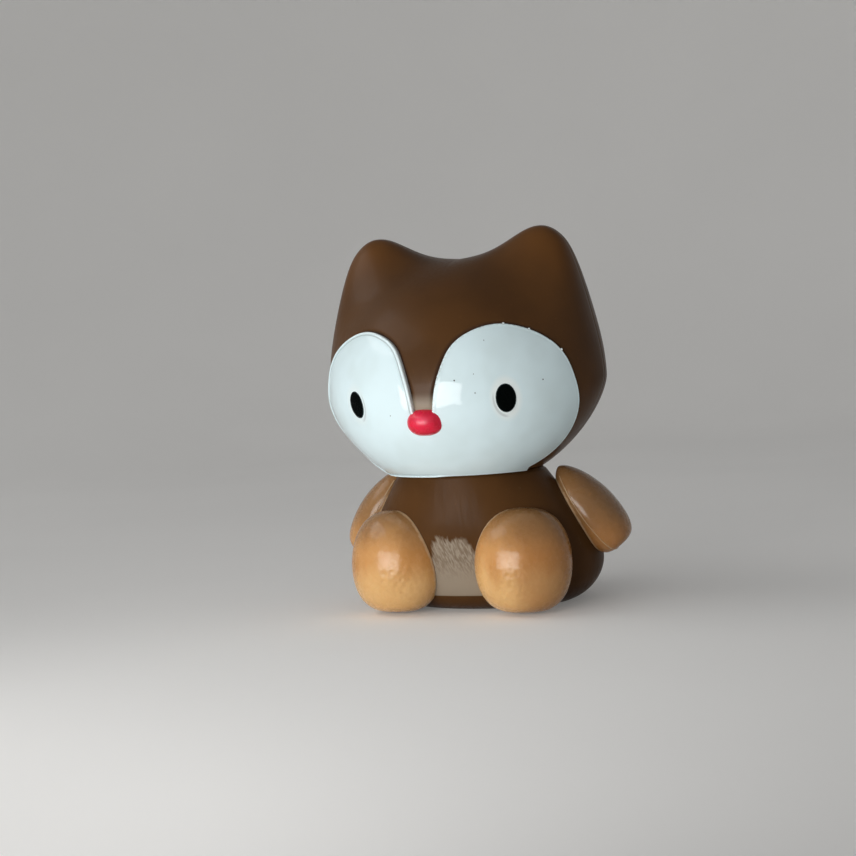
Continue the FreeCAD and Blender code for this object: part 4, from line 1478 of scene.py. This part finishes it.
class FOX_OT_stage(FoxStep, bpy.types.Operator):
    """Make the pale floor that curves up into a backdrop, the lamps and the camera."""

    bl_idname = "fox.stage"
    bl_label = "Studio and Camera"

    def make(self, scene):
        """Set the stage."""
        stage = scene.fox_stage
        levels = [(0.1 * MM, 0.0), (stage.floor_radius * 0.5, 0.0), (stage.floor_radius, 0.0)]
        for step in range(1, 25):
            bend = math.pi / 2 * step / 24
            radius = stage.floor_radius + stage.wall_radius * math.sin(bend)
            levels.append((radius, stage.wall_radius * (1 - math.cos(bend))))
        levels.append((levels[-1][0], stage.wall_height))
        rows = [(height, radius, radius, 0.0) for radius, height in levels]
        points, numbers = stacked_ovals(rows, FLOOR_SIDES)
        floor = mesh_piece("studio_floor", points, strip(numbers, True) + [tuple(reversed(numbers[0]))])
        floor.data.materials.append(floor_paint())
        world = bpy.data.worlds.new("studio_light")
        world.use_nodes = True
        sky = world.node_tree.nodes["Background"].inputs
        sky["Color"].default_value = (0.95, 0.97, 1.0, 1.0)
        sky["Strength"].default_value = stage.world_strength
        scene.world = world
        key = (stage.key_place, stage.key_target, stage.key_size, stage.key_power, stage.key_spread)
        self.lamp("window", *key)
        fill = (stage.fill_place, stage.fill_target, stage.fill_size, stage.fill_power, stage.fill_spread)
        self.lamp("softbox", *fill)
        camera = bpy.data.cameras.new("photo_camera")
        camera.lens = stage.camera_lens
        camera.sensor_width = 36.0
        camera.clip_start = 0.01
        holder = bpy.data.objects.new("photo_camera", camera)
        scene.collection.objects.link(holder)
        azimuth, elevation = stage.camera_azimuth, stage.camera_elevation
        level = math.cos(elevation)
        back = Vector((math.sin(azimuth) * level, -math.cos(azimuth) * level, math.sin(elevation)))
        right = Vector((math.cos(azimuth), math.sin(azimuth), 0.0))
        up = back.cross(right)
        roll = stage.camera_roll
        turned_right = right * math.cos(roll) + up * math.sin(roll)
        turned_up = up * math.cos(roll) - right * math.sin(roll)
        turn = Matrix((turned_right, turned_up, back)).transposed().to_4x4()
        holder.matrix_world = Matrix.Translation(Vector(stage.camera_place)) @ turn
        scene.camera = holder
        scene.view_settings.view_transform = "Standard"

    def lamp(self, name, place, target, size, power, spread):
        """A soft rectangular lamp that the camera doesn't see."""
        light = bpy.data.lights.new(name, "AREA")
        light.shape = "RECTANGLE"
        light.size, light.size_y = size
        light.energy = power
        light.spread = spread
        holder = bpy.data.objects.new(name, light)
        bpy.context.scene.collection.objects.link(holder)
        way = Vector(target) - Vector(place)
        turn = way.to_track_quat("-Z", "Y").to_matrix().to_4x4()
        holder.matrix_world = Matrix.Translation(Vector(place)) @ turn
        holder.visible_camera = False


class FOX_PT_figurine(bpy.types.Panel):
    """The steps that make the figurine."""

    bl_label = "Fox Figurine"
    bl_idname = "FOX_PT_figurine"
    bl_space_type = "VIEW_3D"
    bl_region_type = "UI"
    bl_category = "Fox"

    def draw(self, context):
        """List the steps."""
        for step in STEPS:
            self.layout.operator(step.bl_idname)


GROUPS = (
    ("fox_head", HeadSizes),
    ("fox_mask", MaskSizes),
    ("fox_body", BodySizes),
    ("fox_limbs", LimbSizes),
    ("fox_paints", PaintColours),
    ("fox_stage", StageSizes),
)
STEPS = (
    FOX_OT_head,
    FOX_OT_face_plate,
    FOX_OT_eyes_and_nose,
    FOX_OT_body,
    FOX_OT_limbs,
    FOX_OT_specks,
    FOX_OT_stage,
)


def register():
    """Register the sizes, the steps and the panel."""
    for name, group in GROUPS:
        bpy.utils.register_class(group)
        setattr(bpy.types.Scene, name, PointerProperty(type=group))
    for step in STEPS:
        bpy.utils.register_class(step)
    bpy.utils.register_class(FOX_PT_figurine)


def unregister():
    """Take them out again."""
    bpy.utils.unregister_class(FOX_PT_figurine)
    for step in reversed(STEPS):
        bpy.utils.unregister_class(step)
    for name, group in reversed(GROUPS):
        delattr(bpy.types.Scene, name)
        bpy.utils.unregister_class(group)


def main():
    """Run every step in order."""
    register()
    bpy.ops.fox.head()
    bpy.ops.fox.face_plate()
    bpy.ops.fox.eyes_and_nose()
    bpy.ops.fox.body()
    bpy.ops.fox.limbs()
    bpy.ops.fox.specks()
    bpy.ops.fox.stage()


if __name__ == "__main__":
    main()
